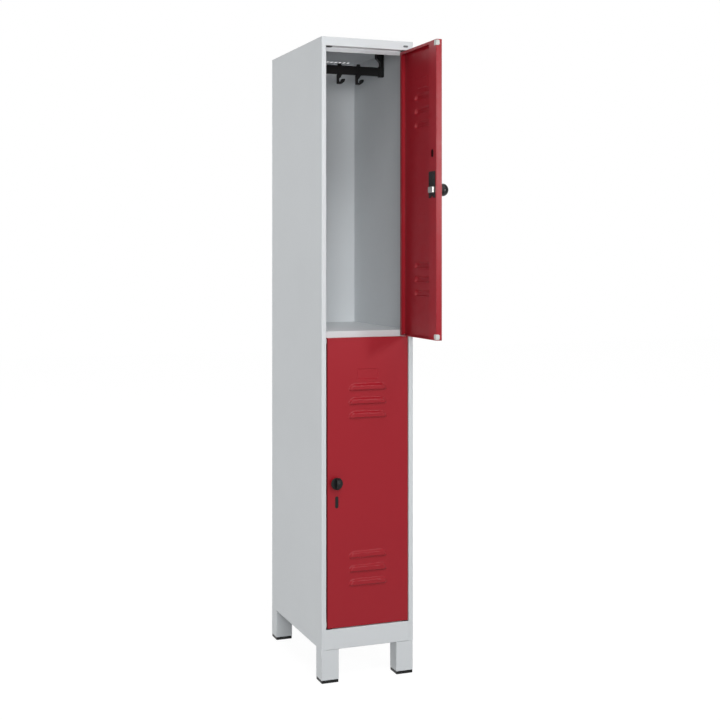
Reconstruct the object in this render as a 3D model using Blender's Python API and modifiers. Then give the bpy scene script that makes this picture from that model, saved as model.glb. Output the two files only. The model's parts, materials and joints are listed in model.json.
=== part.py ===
"""Double tier steel locker: a folded sheet cabinet on four feet, with two doors, locks, coat rails and hooks.

Cabinet coordinates, in metres: x runs right from the left side, y runs back from the front faces
and z runs up from the ground. The upper door stands open at a right angle, the lower one is shut.
"""

import math

import bmesh
import bpy
from mathutils import Matrix, Vector

# Overall size of the cabinet
WIDTH = 0.300
DEPTH = 0.500
HEIGHT = 1.950

# Sheet metal
SHEET = 0.001
FOLD_INSIDE = 0.0008
FOLD_STEPS = 3
SEAM = 0.0003

# Front frame
STILE_WIDTH = 0.015
STILE_RETURN = 0.0183
REAR_FLANGE = 0.015
TOP_RAIL = 0.027
BOTTOM_RAIL = 0.061
BOTTOM_LIP = 0.012
STOP_HEIGHT = 0.014
BASE_SHEET = 0.0015

# Shelf between the two compartments
SHELF_ABOVE_DOOR = 0.019
SHELF_FLANGE = 0.040

# Roof vent: a row of slots near the back
VENT_COUNT = 16
VENT_PITCH = 0.015
VENT_WIDTH = 0.008
VENT_LENGTH = 0.025
VENT_FROM_BACK = 0.035

# Feet
FOOT_HEIGHT = 0.100
FOOT_WIDTH = 0.055
FOOT_DEPTH = 0.050
FOOT_WALL = 0.0015
FOOT_CORNER = 0.004
CAP_HEIGHT = 0.010
CAP_PLUG = 0.015
CAP_EDGE = 0.0026
BOLT_RADIUS = 0.004
BOLT_HEAD_RADIUS = 0.0072
BOLT_HEAD_HEIGHT = 0.0053
BOLT_ABOVE_BASE = 0.008

# Doors
DOOR_THICKNESS = 0.018
DOOR_GAP = 0.003
DOOR_SIDE_GAP = 0.0025
DOOR_EDGE_RADIUS = 0.0016
DOOR_LOCK_RETURN = 0.050
DOOR_HINGE_RETURN = 0.019
DOOR_END_RETURN = 0.011
UPPER_DOOR_OPEN = math.radians(90)

# Louvres pressed out of the doors, open along their lower edge
LOUVRE_COUNT = 3
LOUVRE_WIDTH = 0.120
LOUVRE_HEIGHT = 0.020
LOUVRE_REACH = 0.0048
LOUVRE_PITCH = 0.042
LOUVRE_BELOW_TOP = 0.160
LOUVRE_ABOVE_BOTTOM = 0.124
LOUVRE_SEGMENTS = 14
LOUVRE_RINGS = 8
LOUVRE_LIP_DROP = 0.0012
LOUVRE_LIP_SLOPE = 0.45

# Shallow label recess above the upper louvres
LABEL_WIDTH = 0.063
LABEL_HEIGHT = 0.028
LABEL_DEPTH = 0.0004
LABEL_BELOW_TOP = 0.109

# Corner buffers on the lock side of each door
BUFFER_REACH = 0.0165
BUFFER_TALL = 0.0155
BUFFER_THICKNESS = 0.0032
BUFFER_CORNER = 0.004
BUFFER_INSET = 0.0025
BUFFER_WRAP = 0.0012
BUFFER_WRAP_FROM = 0.006

# Hinges: pins in black blocks, in bushes set in the door edges
PIVOT_INSET = 0.008
PIVOT_SETBACK = 0.006
PIN_RADIUS = 0.003
PIN_IN_DOOR = 0.012
PIN_CLEARANCE = 0.0003
HINGE_PLATE_WIDTH = 0.020
HINGE_PLATE_FRONT = 0.0012
HINGE_PLATE_BACK = 0.018
HINGE_PLATE = 0.0022
HINGE_BOSS_RADIUS = 0.0042
HINGE_BOSS_HEIGHT = 0.008
BUSH_NECK_RADIUS = 0.0042
BUSH_BODY_RADIUS = 0.005
BUSH_BODY_HEIGHT = 0.009
TAB_SHEET = 0.0014
TAB_WIDTH = 0.020
TAB_FRONT = 0.0012
TAB_BEHIND_STOP = 0.015

# Rotary lock: knob, spindle with a crank, and the latch bolt that the crank throws
LOCK_INSET = 0.0275
KNOB_RADIUS = 0.0178
KNOB_CENTRE = 0.0150
KNOB_FOOT = 0.0005
KNOB_WEB = 0.010
KNOB_WEB_BASE = 0.0155
KNOB_EYE_RADIUS = 0.004
KNOB_EYE_FROM_DOOR = 0.022
SPINDLE_RADIUS = 0.004
SPINDLE_IN_KNOB = 0.009
SPINDLE_HOLE_CLEARANCE = 0.001
CASE_FROM_EDGE = 0.0065
CASE_ABOVE = 0.054
CASE_BELOW = 0.024
CASE_DEPTH = 0.0105
CASE_PROUD = 0.002
CASE_WALL = 0.0013
CASE_CAVITY_BELOW = 0.0105
CASE_NOTCH_HALF = 0.010
CASE_NOTCH_DEPTH = 0.009
CRANK_RADIUS = 0.0158
CRANK_WIDTH = 0.008
CRANK_THICKNESS = 0.0024
CRANK_PIN_RADIUS = 0.002
CRANK_PIN_SLACK = 0.0007
YOKE_WALL = 0.0022
YOKE_THICKNESS = 0.003
BOLT_LENGTH = 0.033
BOLT_TALL = 0.0175
BOLT_THICKNESS = 0.0055
BOLT_FROM_EDGE = 0.0114
BOLT_BEHIND_STILE = 0.001

# Black slot insert below the knob, and the pair of joined holes in the lock return above it
INSERT_INSET = 0.031
INSERT_WIDTH = 0.0095
INSERT_HEIGHT = 0.036
INSERT_BELOW_KNOB = 0.0585
INSERT_RIM = 0.003
INSERT_RIM_THICKNESS = 0.0012
RETURN_HOLE_RADIUS = 0.006
RETURN_HOLE_SPREAD = 0.0055
RETURN_HOLE_ABOVE_KNOB = 0.105
RETURN_HOLE_FROM_EDGE = 0.029

# Coat rails and their brackets
RAIL_SETBACK = 0.240
RAIL_TALL = 0.026
RAIL_THICK = 0.012
RAIL_WALL = 0.0015
RAIL_BELOW_CEILING = 0.047
BRACKET_TOP = 0.026
BRACKET_STEM = 0.010
BRACKET_THICK = 0.018
BRACKET_LIP = 0.011
BRACKET_FLARE = 0.016
SOCKET_WIDTH = 0.017
SOCKET_WALL = 0.003
SOCKET_FLOOR = 0.003

# Hooks that slide along the rails
HOOK_PLACES = (0.147, 0.212)
HOOK_SADDLE_WIDTH = 0.013
HOOK_SADDLE_WALL = 0.0028
HOOK_FIT = 0.0004
HOOK_TAB_WIDTH = 0.009
HOOK_TAB_HEIGHT = 0.007
HOOK_ROD = 0.0052
HOOK_BEND = 0.0088
HOOK_DROP = 0.0145
HOOK_BEND_STEPS = 7
HOOK_TIP = 0.006
HOOK_TIP_ANGLE = math.radians(35)

# Plain oval plug on the top rail
PLUG_WIDTH = 0.016
PLUG_HEIGHT = 0.006
PLUG_THICKNESS = 0.001
PLUG_FROM_RIGHT = 0.025
PLUG_ABOVE_RAIL = 0.0115

# Facets of round pieces, and how near two corners are to count as one
ROUND_STEPS = 18
ARC_STEPS = 6
KNOB_SEGMENTS = 20
KNOB_RINGS = 12
MERGE = 1e-6

# Places that follow from the sizes above
BODY_BOTTOM = FOOT_HEIGHT
RAIL_UNDERSIDE = HEIGHT - TOP_RAIL
BOTTOM_RAIL_TOP = BODY_BOTTOM + BOTTOM_RAIL
DOOR_WIDTH = WIDTH - 2 * STILE_WIDTH - 2 * DOOR_SIDE_GAP
DOOR_HEIGHT = (RAIL_UNDERSIDE - BOTTOM_RAIL_TOP - 3 * DOOR_GAP) / 2
LOWER_DOOR_Z = BOTTOM_RAIL_TOP + DOOR_GAP
UPPER_DOOR_Z = LOWER_DOOR_Z + DOOR_HEIGHT + DOOR_GAP
STOP_Y = DOOR_THICKNESS + BUFFER_THICKNESS + SEAM
BACK_Y = DEPTH - SHEET - SEAM
INNER_BACK_Y = BACK_Y - SHEET - SEAM
PANEL_TOP = HEIGHT - SHEET - SEAM
INNER_LEFT = SHEET + SEAM
INNER_RIGHT = WIDTH - SHEET - SEAM
FLOOR_TOP = BOTTOM_RAIL_TOP + STOP_HEIGHT
SHELF_TOP = LOWER_DOOR_Z + DOOR_HEIGHT + SHELF_ABOVE_DOOR
PIVOT_X = WIDTH - STILE_WIDTH - DOOR_SIDE_GAP - PIVOT_INSET
FREE_REACH = DOOR_WIDTH - PIVOT_INSET
LOCK_Z = DOOR_HEIGHT / 2
CRANK_SWING = math.radians(45)
BOLT_Y = STILE_RETURN + BOLT_BEHIND_STILE
CASE_Y = DOOR_THICKNESS + CASE_PROUD - CASE_DEPTH
CASE_WIDTH = DOOR_LOCK_RETURN - CASE_FROM_EDGE
CRANK_Y = CASE_Y + SEAM
YOKE_Y = CRANK_Y + CRANK_THICKNESS + SEAM
ORIGIN_Y = (DEPTH + PIVOT_SETBACK - FREE_REACH) / 2

# Turns a profile drawn in x and y to one drawn in y and z, swept along x
SWEEP_ALONG_X = (math.pi / 2, 0.0, math.pi / 2)
# Outline drawn in x and y stood up in x and z, swept towards the front
STAND_UP = (math.pi / 2, 0.0, 0.0)
# The same outline stood up along the free edge, from the back to the front, swept outwards
STAND_FORWARD = (math.pi / 2, 0.0, -math.pi / 2)

PALETTE = {
    "body_grey": ((0.62, 0.64, 0.65), 0.45, 0.0),
    "door_red": ((0.33, 0.022, 0.035), 0.42, 0.0),
    "black_plastic": ((0.012, 0.012, 0.013), 0.5, 0.0),
    "white_plastic": ((0.78, 0.79, 0.78), 0.4, 0.0),
    "zinc_steel": ((0.70, 0.70, 0.69), 0.3, 1.0),
    "plug_grey": ((0.10, 0.105, 0.11), 0.45, 0.0),
}


def clear_scene():
    for obj in list(bpy.data.objects):
        bpy.data.objects.remove(obj, do_unlink=True)


def new_collection(name):
    made = bpy.data.collections.new(name)
    bpy.context.scene.collection.children.link(made)
    return made


def make_material(name):
    colour, roughness, metallic = PALETTE[name]
    material = bpy.data.materials.new(name)
    material.use_nodes = True
    shader = material.node_tree.nodes["Principled BSDF"]
    shader.inputs["Base Color"].default_value = (*colour, 1.0)
    shader.inputs["Roughness"].default_value = roughness
    shader.inputs["Metallic"].default_value = metallic
    return material


clear_scene()
PARTS = new_collection("double_tier_locker")
CUTTERS = new_collection("cutters")
MATERIALS = {name: make_material(name) for name in PALETTE}


def empty(name, parent, location, turn=0.0):
    made = bpy.data.objects.new(name, None)
    made.empty_display_size = 0.03
    made.parent = parent
    made.location = location
    made.rotation_euler = (0.0, 0.0, turn)
    PARTS.objects.link(made)
    return made


def add(name, mesh, parent, location=(0, 0, 0), rotation=(0, 0, 0), material=None):
    """Puts a mesh in the scene: a part if it has a material, otherwise a cutter or a form to join."""
    made = bpy.data.objects.new(name, mesh)
    made.parent = parent
    made.location = location
    made.rotation_euler = rotation
    if material:
        mesh.materials.append(MATERIALS[material])
        PARTS.objects.link(made)
    else:
        made.hide_render = True
        made.display_type = "WIRE"
        CUTTERS.objects.link(made)
    return made


def mesh_from(name, bm):
    mesh = bpy.data.meshes.new(name)
    bmesh.ops.recalc_face_normals(bm, faces=bm.faces)
    bm.to_mesh(mesh)
    bm.free()
    return mesh


def box_mesh(name, size, bevel=0.0, only_upright=False):
    """A box with its lowest corner at the origin, with round edges where a bevel is given."""
    bm = bmesh.new()
    bmesh.ops.create_cube(bm, size=1.0)
    bmesh.ops.translate(bm, verts=bm.verts, vec=(0.5, 0.5, 0.5))
    bmesh.ops.scale(bm, verts=bm.verts, vec=size)
    if bevel:
        edges = [e for e in bm.edges if not only_upright or e.verts[0].co.z != e.verts[1].co.z]
        bmesh.ops.bevel(bm, geom=edges, offset=bevel, segments=2, profile=0.5, affect="EDGES")
    return mesh_from(name, bm)


def cylinder_mesh(name, radius, length, steps=ROUND_STEPS):
    """A cylinder that stands on the origin."""
    bm = bmesh.new()
    bmesh.ops.create_cone(
        bm, cap_ends=True, segments=steps, radius1=radius, radius2=radius, depth=length
    )
    bmesh.ops.translate(bm, verts=bm.verts, vec=(0, 0, length / 2))
    return mesh_from(name, bm)


def outline_mesh(name, outlines, thickness):
    """A flat outline, and any holes in it, swept up from the origin's plane by its thickness."""
    curve = bpy.data.curves.new(name, "CURVE")
    curve.dimensions = "2D"
    curve.fill_mode = "BOTH"
    curve.extrude = thickness / 2
    for points in outlines:
        spline = curve.splines.new("POLY")
        spline.points.add(len(points) - 1)
        for point, (x, y) in zip(spline.points, points):
            point.co = (x, y, 0.0, 1.0)
        spline.use_cyclic_u = True
    return curve_to_mesh(curve, thickness / 2)


def curve_to_mesh(curve, lift=0.0):
    holder = bpy.data.objects.new(curve.name, curve)
    CUTTERS.objects.link(holder)
    graph = bpy.context.evaluated_depsgraph_get()
    mesh = bpy.data.meshes.new_from_object(holder.evaluated_get(graph))
    bpy.data.objects.remove(holder, do_unlink=True)
    bm = bmesh.new()
    bm.from_mesh(mesh)
    bmesh.ops.remove_doubles(bm, verts=bm.verts, dist=MERGE)
    bmesh.ops.translate(bm, verts=bm.verts, vec=(0, 0, lift))
    bpy.data.meshes.remove(mesh)
    return mesh_from(curve.name, bm)


def arc(centre, radius, start, end, steps):
    """Points of an arc, both ends included; the angles are in radians."""
    angles = [start + (end - start) * i / steps for i in range(steps + 1)]
    return [(centre[0] + radius * math.cos(a), centre[1] + radius * math.sin(a)) for a in angles]


def stadium(width, height, steps=ARC_STEPS):
    """A slot outline about the origin, with half round ends on its long axis."""
    radius = min(width, height) / 2
    along = max(width, height) / 2 - radius
    ends = arc((along, 0), radius, -math.pi / 2, math.pi / 2, steps)
    ends += arc((-along, 0), radius, math.pi / 2, 3 * math.pi / 2, steps)
    return ends if width >= height else [(-y, x) for x, y in ends]


def rounded_box_outline(width, height, corner, steps=3):
    """A rectangle about the origin with round corners."""
    points = []
    for turn, (sx, sy) in enumerate([(1, 1), (-1, 1), (-1, -1), (1, -1)]):
        centre = (sx * (width / 2 - corner), sy * (height / 2 - corner))
        points += arc(centre, corner, turn * math.pi / 2, (turn + 1) * math.pi / 2, steps)
    return points


def flap_outline(length, height, corner, steps=3):
    """A rectangle that runs along x from the origin and is rounded at its far end only."""
    far = length - corner
    side = height / 2 - corner
    lower = arc((far, -side), corner, -math.pi / 2, 0, steps)
    upper = arc((far, side), corner, 0, math.pi / 2, steps)
    return [(0.0, -height / 2), *lower, *upper, (0.0, height / 2)]


def folded_path(corners):
    """Rounds the folds of a sheet's outer line, whose thickness lies to the left of its travel."""
    path = [Vector(corners[0])]
    for before, here, after in zip(corners, corners[1:], corners[2:]):
        here = Vector(here)
        arriving = (here - Vector(before)).normalized()
        leaving = (Vector(after) - here).normalized()
        turn = math.atan2(arriving.cross(leaving), arriving.dot(leaving))
        radius = FOLD_INSIDE + SHEET if turn > 0 else FOLD_INSIDE
        start = here - arriving * radius * math.tan(abs(turn) / 2)
        left = Vector((-arriving.y, arriving.x))
        centre = start + left * math.copysign(radius, turn)
        for step in range(FOLD_STEPS + 1):
            spin = Matrix.Rotation(turn * step / FOLD_STEPS, 2)
            path.append(centre + spin @ (start - centre))
    path.append(Vector(corners[-1]))
    return path


def folded_sheet(name, corners, length, parent, location, rotation=(0, 0, 0)):
    """A folded sheet: its outer line swept along its own z and given the sheet's thickness."""
    bm = bmesh.new()
    path = folded_path(corners)
    low = [bm.verts.new((p.x, p.y, 0.0)) for p in path]
    edges = [bm.edges.new(pair) for pair in zip(low, low[1:])]
    swept = bmesh.ops.extrude_edge_only(bm, edges=edges)["geom"]
    lifted = [v for v in swept if isinstance(v, bmesh.types.BMVert)]
    bmesh.ops.translate(bm, verts=lifted, vec=(0, 0, length))
    bm.normal_update()
    first = low[0].link_faces[0]
    travel = path[1] - path[0]
    if first.normal.to_2d().dot(Vector((travel.y, -travel.x))) < 0:
        bmesh.ops.reverse_faces(bm, faces=bm.faces)
    mesh = bpy.data.meshes.new(name)
    bm.to_mesh(mesh)
    bm.free()
    sheet = add(name, mesh, parent, location, rotation, "body_grey")
    shell = sheet.modifiers.new("sheet", "SOLIDIFY")
    shell.thickness = SHEET
    shell.offset = -1
    shell.use_even_offset = True
    return sheet


def turned(name, profile, parent, location, rotation, material, steps=ROUND_STEPS):
    """A turned piece: a closed profile of (radius, height) points, spun about its own z."""
    bm = bmesh.new()
    verts = [bm.verts.new((r, 0.0, z)) for r, z in profile]
    for pair in zip(verts, verts[1:] + verts[:1]):
        bm.edges.new(pair)
    mesh = bpy.data.meshes.new(name)
    bm.to_mesh(mesh)
    bm.free()
    piece = add(name, mesh, parent, location, rotation, material)
    turn = piece.modifiers.new("turn", "SCREW")
    turn.axis = "Z"
    turn.angle = 2 * math.pi
    turn.steps = steps
    turn.render_steps = steps
    turn.use_merge_vertices = True
    turn.merge_threshold = MERGE
    return piece


def boolean(target, other, operation):
    modifier = target.modifiers.new(other.name, "BOOLEAN")
    modifier.operation = operation
    modifier.object = other
    modifier.solver = "EXACT"


def cut(target, mesh, parent, location, rotation=(0, 0, 0)):
    boolean(target, add(mesh.name, mesh, parent, location, rotation), "DIFFERENCE")


def join(target, mesh, parent, location, rotation=(0, 0, 0)):
    boolean(target, add(mesh.name, mesh, parent, location, rotation), "UNION")


def round_off(obj, angle=math.radians(35)):
    obj.data.shade_smooth()
    obj.data.set_sharp_from_angle(angle=angle)


def cut_box(target, low, high, parent):
    size = Vector(high) - Vector(low)
    cut(target, box_mesh(target.name + "_cut", size), parent, low)


def notch_front_corners(panel, low_z, high_z, root):
    """Clears the stiles and their returns at both front corners of a panel."""
    reach = STILE_WIDTH + SEAM
    back = STOP_Y + SHEET + SEAM
    front = -STILE_WIDTH
    cut_box(panel, (-STILE_WIDTH, front, low_z), (reach, back, high_z), root)
    cut_box(panel, (WIDTH - reach, front, low_z), (WIDTH + STILE_WIDTH, back, high_z), root)


def build_sides(root):
    left = [
        (REAR_FLANGE, DEPTH),
        (0.0, DEPTH),
        (0.0, 0.0),
        (STILE_WIDTH, 0.0),
        (STILE_WIDTH, STILE_RETURN),
    ]
    right = [(WIDTH - x, y) for x, y in reversed(left)]
    for name, corners in (("left_side_panel", left), ("right_side_panel", right)):
        folded_sheet(name, corners, PANEL_TOP - BODY_BOTTOM, root, (0, 0, BODY_BOTTOM))


def build_back(root):
    size = (INNER_RIGHT - INNER_LEFT, SHEET, PANEL_TOP - BODY_BOTTOM)
    mesh = box_mesh("back_panel", size)
    add("back_panel", mesh, root, (INNER_LEFT, BACK_Y - SHEET, BODY_BOTTOM), material="body_grey")


def build_roof(root):
    corners = [
        (DEPTH, HEIGHT - REAR_FLANGE),
        (DEPTH, HEIGHT),
        (0.0, HEIGHT),
        (0.0, RAIL_UNDERSIDE),
        (STOP_Y, RAIL_UNDERSIDE),
        (STOP_Y, RAIL_UNDERSIDE - STOP_HEIGHT),
    ]
    roof = folded_sheet("roof_panel", corners, WIDTH, root, (0, 0, 0), SWEEP_ALONG_X)
    plate_underside = HEIGHT - SHEET - SEAM / 2
    notch_front_corners(roof, RAIL_UNDERSIDE - 2 * STOP_HEIGHT, plate_underside, root)
    reach = REAR_FLANGE + SEAM
    rear = DEPTH - SHEET - FOLD_INSIDE - 2 * SEAM
    rear_end = DEPTH + REAR_FLANGE
    low_z = HEIGHT - 2 * REAR_FLANGE
    cut_box(roof, (-reach, rear, low_z), (reach, rear_end, plate_underside), root)
    cut_box(roof, (WIDTH - reach, rear, low_z), (WIDTH + reach, rear_end, plate_underside), root)
    for index in range(VENT_COUNT):
        x = WIDTH / 2 + (index - (VENT_COUNT - 1) / 2) * VENT_PITCH
        slot = outline_mesh("vent_slot", [stadium(VENT_WIDTH, VENT_LENGTH)], 4 * SHEET)
        cut(roof, slot, root, (x, DEPTH - VENT_FROM_BACK, HEIGHT - 2.5 * SHEET))
    for side, x in (("left", WIDTH - PIVOT_X), ("right", PIVOT_X)):
        hole = cylinder_mesh(side + "_boss_hole", HINGE_BOSS_RADIUS + SEAM, 4 * SHEET)
        cut(roof, hole, root, (x, PIVOT_SETBACK, RAIL_UNDERSIDE - SHEET))


def build_shelf(root):
    corners = [
        (INNER_BACK_Y, SHELF_TOP - REAR_FLANGE),
        (INNER_BACK_Y, SHELF_TOP),
        (STOP_Y, SHELF_TOP),
        (STOP_Y, SHELF_TOP - SHELF_FLANGE),
    ]
    length = INNER_RIGHT - INNER_LEFT
    shelf = folded_sheet("middle_shelf", corners, length, root, (INNER_LEFT, 0, 0), SWEEP_ALONG_X)
    notch_front_corners(shelf, SHELF_TOP - 2 * SHELF_FLANGE, SHELF_TOP + STOP_HEIGHT, root)
    tab_low = UPPER_DOOR_Z - (DOOR_GAP + TAB_SHEET) / 2
    left = PIVOT_X - TAB_WIDTH / 2
    cut_box(
        shelf,
        (left - SEAM, STOP_Y - SHEET, tab_low - SEAM),
        (left + TAB_WIDTH + SEAM, STOP_Y + 2 * SHEET, tab_low + TAB_SHEET + SEAM),
        root,
    )


def build_bottom(root):
    corners = [
        (INNER_BACK_Y, FLOOR_TOP - REAR_FLANGE),
        (INNER_BACK_Y, FLOOR_TOP),
        (STOP_Y, FLOOR_TOP),
        (STOP_Y, BOTTOM_RAIL_TOP),
        (0.0, BOTTOM_RAIL_TOP),
        (0.0, BODY_BOTTOM),
        (BOTTOM_LIP, BODY_BOTTOM),
    ]
    length = INNER_RIGHT - INNER_LEFT
    bottom = folded_sheet("bottom_panel", corners, length, root, (INNER_LEFT, 0, 0), SWEEP_ALONG_X)
    notch_front_corners(bottom, BODY_BOTTOM - STOP_HEIGHT, FLOOR_TOP + STOP_HEIGHT, root)
    for side, x in (("left", WIDTH - PIVOT_X), ("right", PIVOT_X)):
        hole = cylinder_mesh(side + "_boss_hole", HINGE_BOSS_RADIUS + SEAM, 4 * SHEET)
        cut(bottom, hole, root, (x, PIVOT_SETBACK, BOTTOM_RAIL_TOP - 3 * SHEET))

    front = BOTTOM_LIP + SEAM
    size = (length, INNER_BACK_Y - front, BASE_SHEET)
    mesh = box_mesh("base_panel", size)
    base = add("base_panel", mesh, root, (INNER_LEFT, front, BODY_BOTTOM), material="body_grey")
    notch_front_corners(base, BODY_BOTTOM - STOP_HEIGHT, BODY_BOTTOM + STOP_HEIGHT, root)
    for _, x, y in foot_places():
        hole = cylinder_mesh("foot_bolt_hole", BOLT_RADIUS + SEAM, 4 * BASE_SHEET)
        centre = (x + FOOT_WIDTH / 2, y + FOOT_DEPTH / 2, BODY_BOTTOM - BASE_SHEET)
        cut(base, hole, root, centre)


def foot_places():
    """Name and lowest corner in plan of each foot."""
    right = WIDTH - FOOT_WIDTH
    rear = DEPTH - FOOT_DEPTH
    return [
        ("front_left", 0.0, 0.0),
        ("front_right", right, 0.0),
        ("rear_left", 0.0, rear),
        ("rear_right", right, rear),
    ]


def build_feet(root):
    top = BODY_BOTTOM - SEAM
    for place, x, y in foot_places():
        size = (FOOT_WIDTH, FOOT_DEPTH, top - CAP_HEIGHT)
        tube = box_mesh(place + "_foot", size, FOOT_CORNER, only_upright=True)
        foot = add(place + "_foot", tube, root, (x, y, CAP_HEIGHT), material="body_grey")
        inner_x = FOOT_WIDTH - 2 * FOOT_WALL
        inner_y = FOOT_DEPTH - 2 * FOOT_WALL
        inner_corner = FOOT_CORNER - FOOT_WALL
        hollow = box_mesh("foot_hollow", (inner_x, inner_y, size[2]), inner_corner, only_upright=True)
        cut(foot, hollow, root, (x + FOOT_WALL, y + FOOT_WALL, CAP_HEIGHT - FOOT_WALL))
        centre_x = x + FOOT_WIDTH / 2
        centre_y = y + FOOT_DEPTH / 2
        hole = cylinder_mesh("foot_hole", BOLT_RADIUS + SEAM, 4 * FOOT_WALL)
        cut(foot, hole, root, (centre_x, centre_y, top - 2.5 * FOOT_WALL))

        plug_x = inner_x - 2 * SEAM
        plug_y = inner_y - 2 * SEAM
        plug = box_mesh(place + "_foot_cap", (plug_x, plug_y, CAP_HEIGHT + CAP_PLUG), CAP_EDGE)
        corner = (x + FOOT_WALL + SEAM, y + FOOT_WALL + SEAM, 0.0)
        add(place + "_foot_cap", plug, root, corner, material="black_plastic")

        head_z = top - FOOT_WALL - SEAM - BOLT_HEAD_HEIGHT
        head = cylinder_mesh(place + "_foot_bolt", BOLT_HEAD_RADIUS, BOLT_HEAD_HEIGHT, 6)
        bolt = add(place + "_foot_bolt", head, root, (centre_x, centre_y, head_z), material="zinc_steel")
        shank_length = BODY_BOTTOM + BASE_SHEET + BOLT_ABOVE_BASE - head_z - BOLT_HEAD_HEIGHT / 2
        shank = cylinder_mesh("foot_bolt_shank", BOLT_RADIUS, shank_length, 12)
        join(bolt, shank, root, (centre_x, centre_y, head_z + BOLT_HEAD_HEIGHT / 2))


def hinge_block(name, x, z, up, root):
    """A black block in the gap beside a rail: a plate with a boss through the rail's lip, and a bore."""
    depth = HINGE_PLATE_BACK - HINGE_PLATE_FRONT
    centre_y = HINGE_PLATE_FRONT + depth / 2
    outline = rounded_box_outline(HINGE_PLATE_WIDTH, depth, 2 * SHEET)
    plate = outline_mesh(name, [outline], HINGE_PLATE)
    low = z - SEAM - HINGE_PLATE if up else z + SEAM
    block = add(name, plate, root, (x, centre_y, low), material="black_plastic")
    boss = cylinder_mesh("hinge_boss", HINGE_BOSS_RADIUS, HINGE_BOSS_HEIGHT + HINGE_PLATE / 2)
    boss_z = low + HINGE_PLATE / 2 if up else low - HINGE_BOSS_HEIGHT
    join(block, boss, root, (x, PIVOT_SETBACK, boss_z))
    reach = HINGE_BOSS_HEIGHT + 2 * HINGE_PLATE
    bore = cylinder_mesh("hinge_bore", PIN_RADIUS + PIN_CLEARANCE, 2 * reach)
    cut(block, bore, root, (x, PIVOT_SETBACK, z - reach))


def hinge_pin(name, low, high, root):
    pin = cylinder_mesh(name, PIN_RADIUS, high - low)
    round_off(add(name, pin, root, (PIVOT_X, PIVOT_SETBACK, low), material="zinc_steel"))


def build_hinges(root):
    spare_x = WIDTH - PIVOT_X
    hinge_block("top_hinge_block", PIVOT_X, RAIL_UNDERSIDE, True, root)
    hinge_block("top_spare_block", spare_x, RAIL_UNDERSIDE, True, root)
    hinge_block("bottom_hinge_block", PIVOT_X, BOTTOM_RAIL_TOP, False, root)
    hinge_block("bottom_spare_block", spare_x, BOTTOM_RAIL_TOP, False, root)

    upper_top = UPPER_DOOR_Z + DOOR_HEIGHT
    hinge_pin("top_hinge_pin", upper_top - PIN_IN_DOOR, RAIL_UNDERSIDE + HINGE_BOSS_HEIGHT, root)
    middle_low = UPPER_DOOR_Z - DOOR_GAP - PIN_IN_DOOR
    hinge_pin("middle_hinge_pin", middle_low, UPPER_DOOR_Z + PIN_IN_DOOR, root)
    bottom_low = BOTTOM_RAIL_TOP - HINGE_BOSS_HEIGHT
    hinge_pin("bottom_hinge_pin", bottom_low, LOWER_DOOR_Z + PIN_IN_DOOR, root)

    tab_low = UPPER_DOOR_Z - (DOOR_GAP + TAB_SHEET) / 2
    depth = STOP_Y + TAB_BEHIND_STOP - TAB_FRONT
    outline = rounded_box_outline(TAB_WIDTH, depth, 3 * SHEET)
    plate = outline_mesh("middle_hinge_tab", [outline], TAB_SHEET)
    centre = (PIVOT_X, TAB_FRONT + depth / 2, tab_low)
    tab = add("middle_hinge_tab", plate, root, centre, material="body_grey")
    hole = cylinder_mesh("tab_hole", PIN_RADIUS + PIN_CLEARANCE, 4 * TAB_SHEET)
    cut(tab, hole, root, (PIVOT_X, PIVOT_SETBACK, tab_low - TAB_SHEET))


def trim(bm, point, outward):
    """Cuts off what lies beyond a plane and closes the cut."""
    geometry = bm.verts[:] + bm.edges[:] + bm.faces[:]
    bmesh.ops.bisect_plane(
        bm, geom=geometry, dist=1e-7, plane_co=point, plane_no=outward, clear_outer=True
    )
    loose = [v for v in bm.verts if not v.link_faces]
    bmesh.ops.delete(bm, geom=loose, context="VERTS")
    rim = [e for e in bm.edges if e.is_boundary]
    bmesh.ops.holes_fill(bm, edges=rim, sides=len(rim))


def louvre_form(name, radius, reach, length, lowest, slope, rear):
    """Upper half of a flattened capsule along x, cut off behind and, level or sloping, below."""
    bm = bmesh.new()
    bmesh.ops.create_uvsphere(bm, u_segments=LOUVRE_SEGMENTS, v_segments=LOUVRE_RINGS, radius=1.0)
    bmesh.ops.rotate(bm, verts=bm.verts, matrix=Matrix.Rotation(math.pi / 2, 3, "Y"))
    bmesh.ops.scale(bm, verts=bm.verts, vec=(radius, reach, radius))
    for vert in bm.verts:
        vert.co.x += math.copysign(length / 2 - radius, vert.co.x)
    trim(bm, (0, SHEET, lowest), Vector((0, slope, -1)).normalized())
    trim(bm, (0, rear, 0), (0, 1, 0))
    return mesh_from(name, bm)


def press_louvre(panel, hinge, centre_x, z):
    """A louvre whose lip hangs a little below the cut line, so no light shows straight through."""
    outer = louvre_form(
        "louvre", LOUVRE_HEIGHT, LOUVRE_REACH, LOUVRE_WIDTH, -LOUVRE_LIP_DROP, 0.0, SHEET / 2
    )
    join(panel, outer, hinge, door_point(centre_x, 0.0, z))
    inner = louvre_form(
        "louvre_hollow",
        LOUVRE_HEIGHT - SHEET,
        LOUVRE_REACH - SHEET,
        LOUVRE_WIDTH - 2 * SHEET,
        0.0,
        LOUVRE_LIP_SLOPE,
        2 * SHEET,
    )
    cut(panel, inner, hinge, door_point(centre_x, 0.0, z))


def door_point(x, y, z):
    """A place on a door: x from its free edge, y from its front face, z from its lower edge."""
    return Vector((x - FREE_REACH, y - PIVOT_SETBACK, z))


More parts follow.
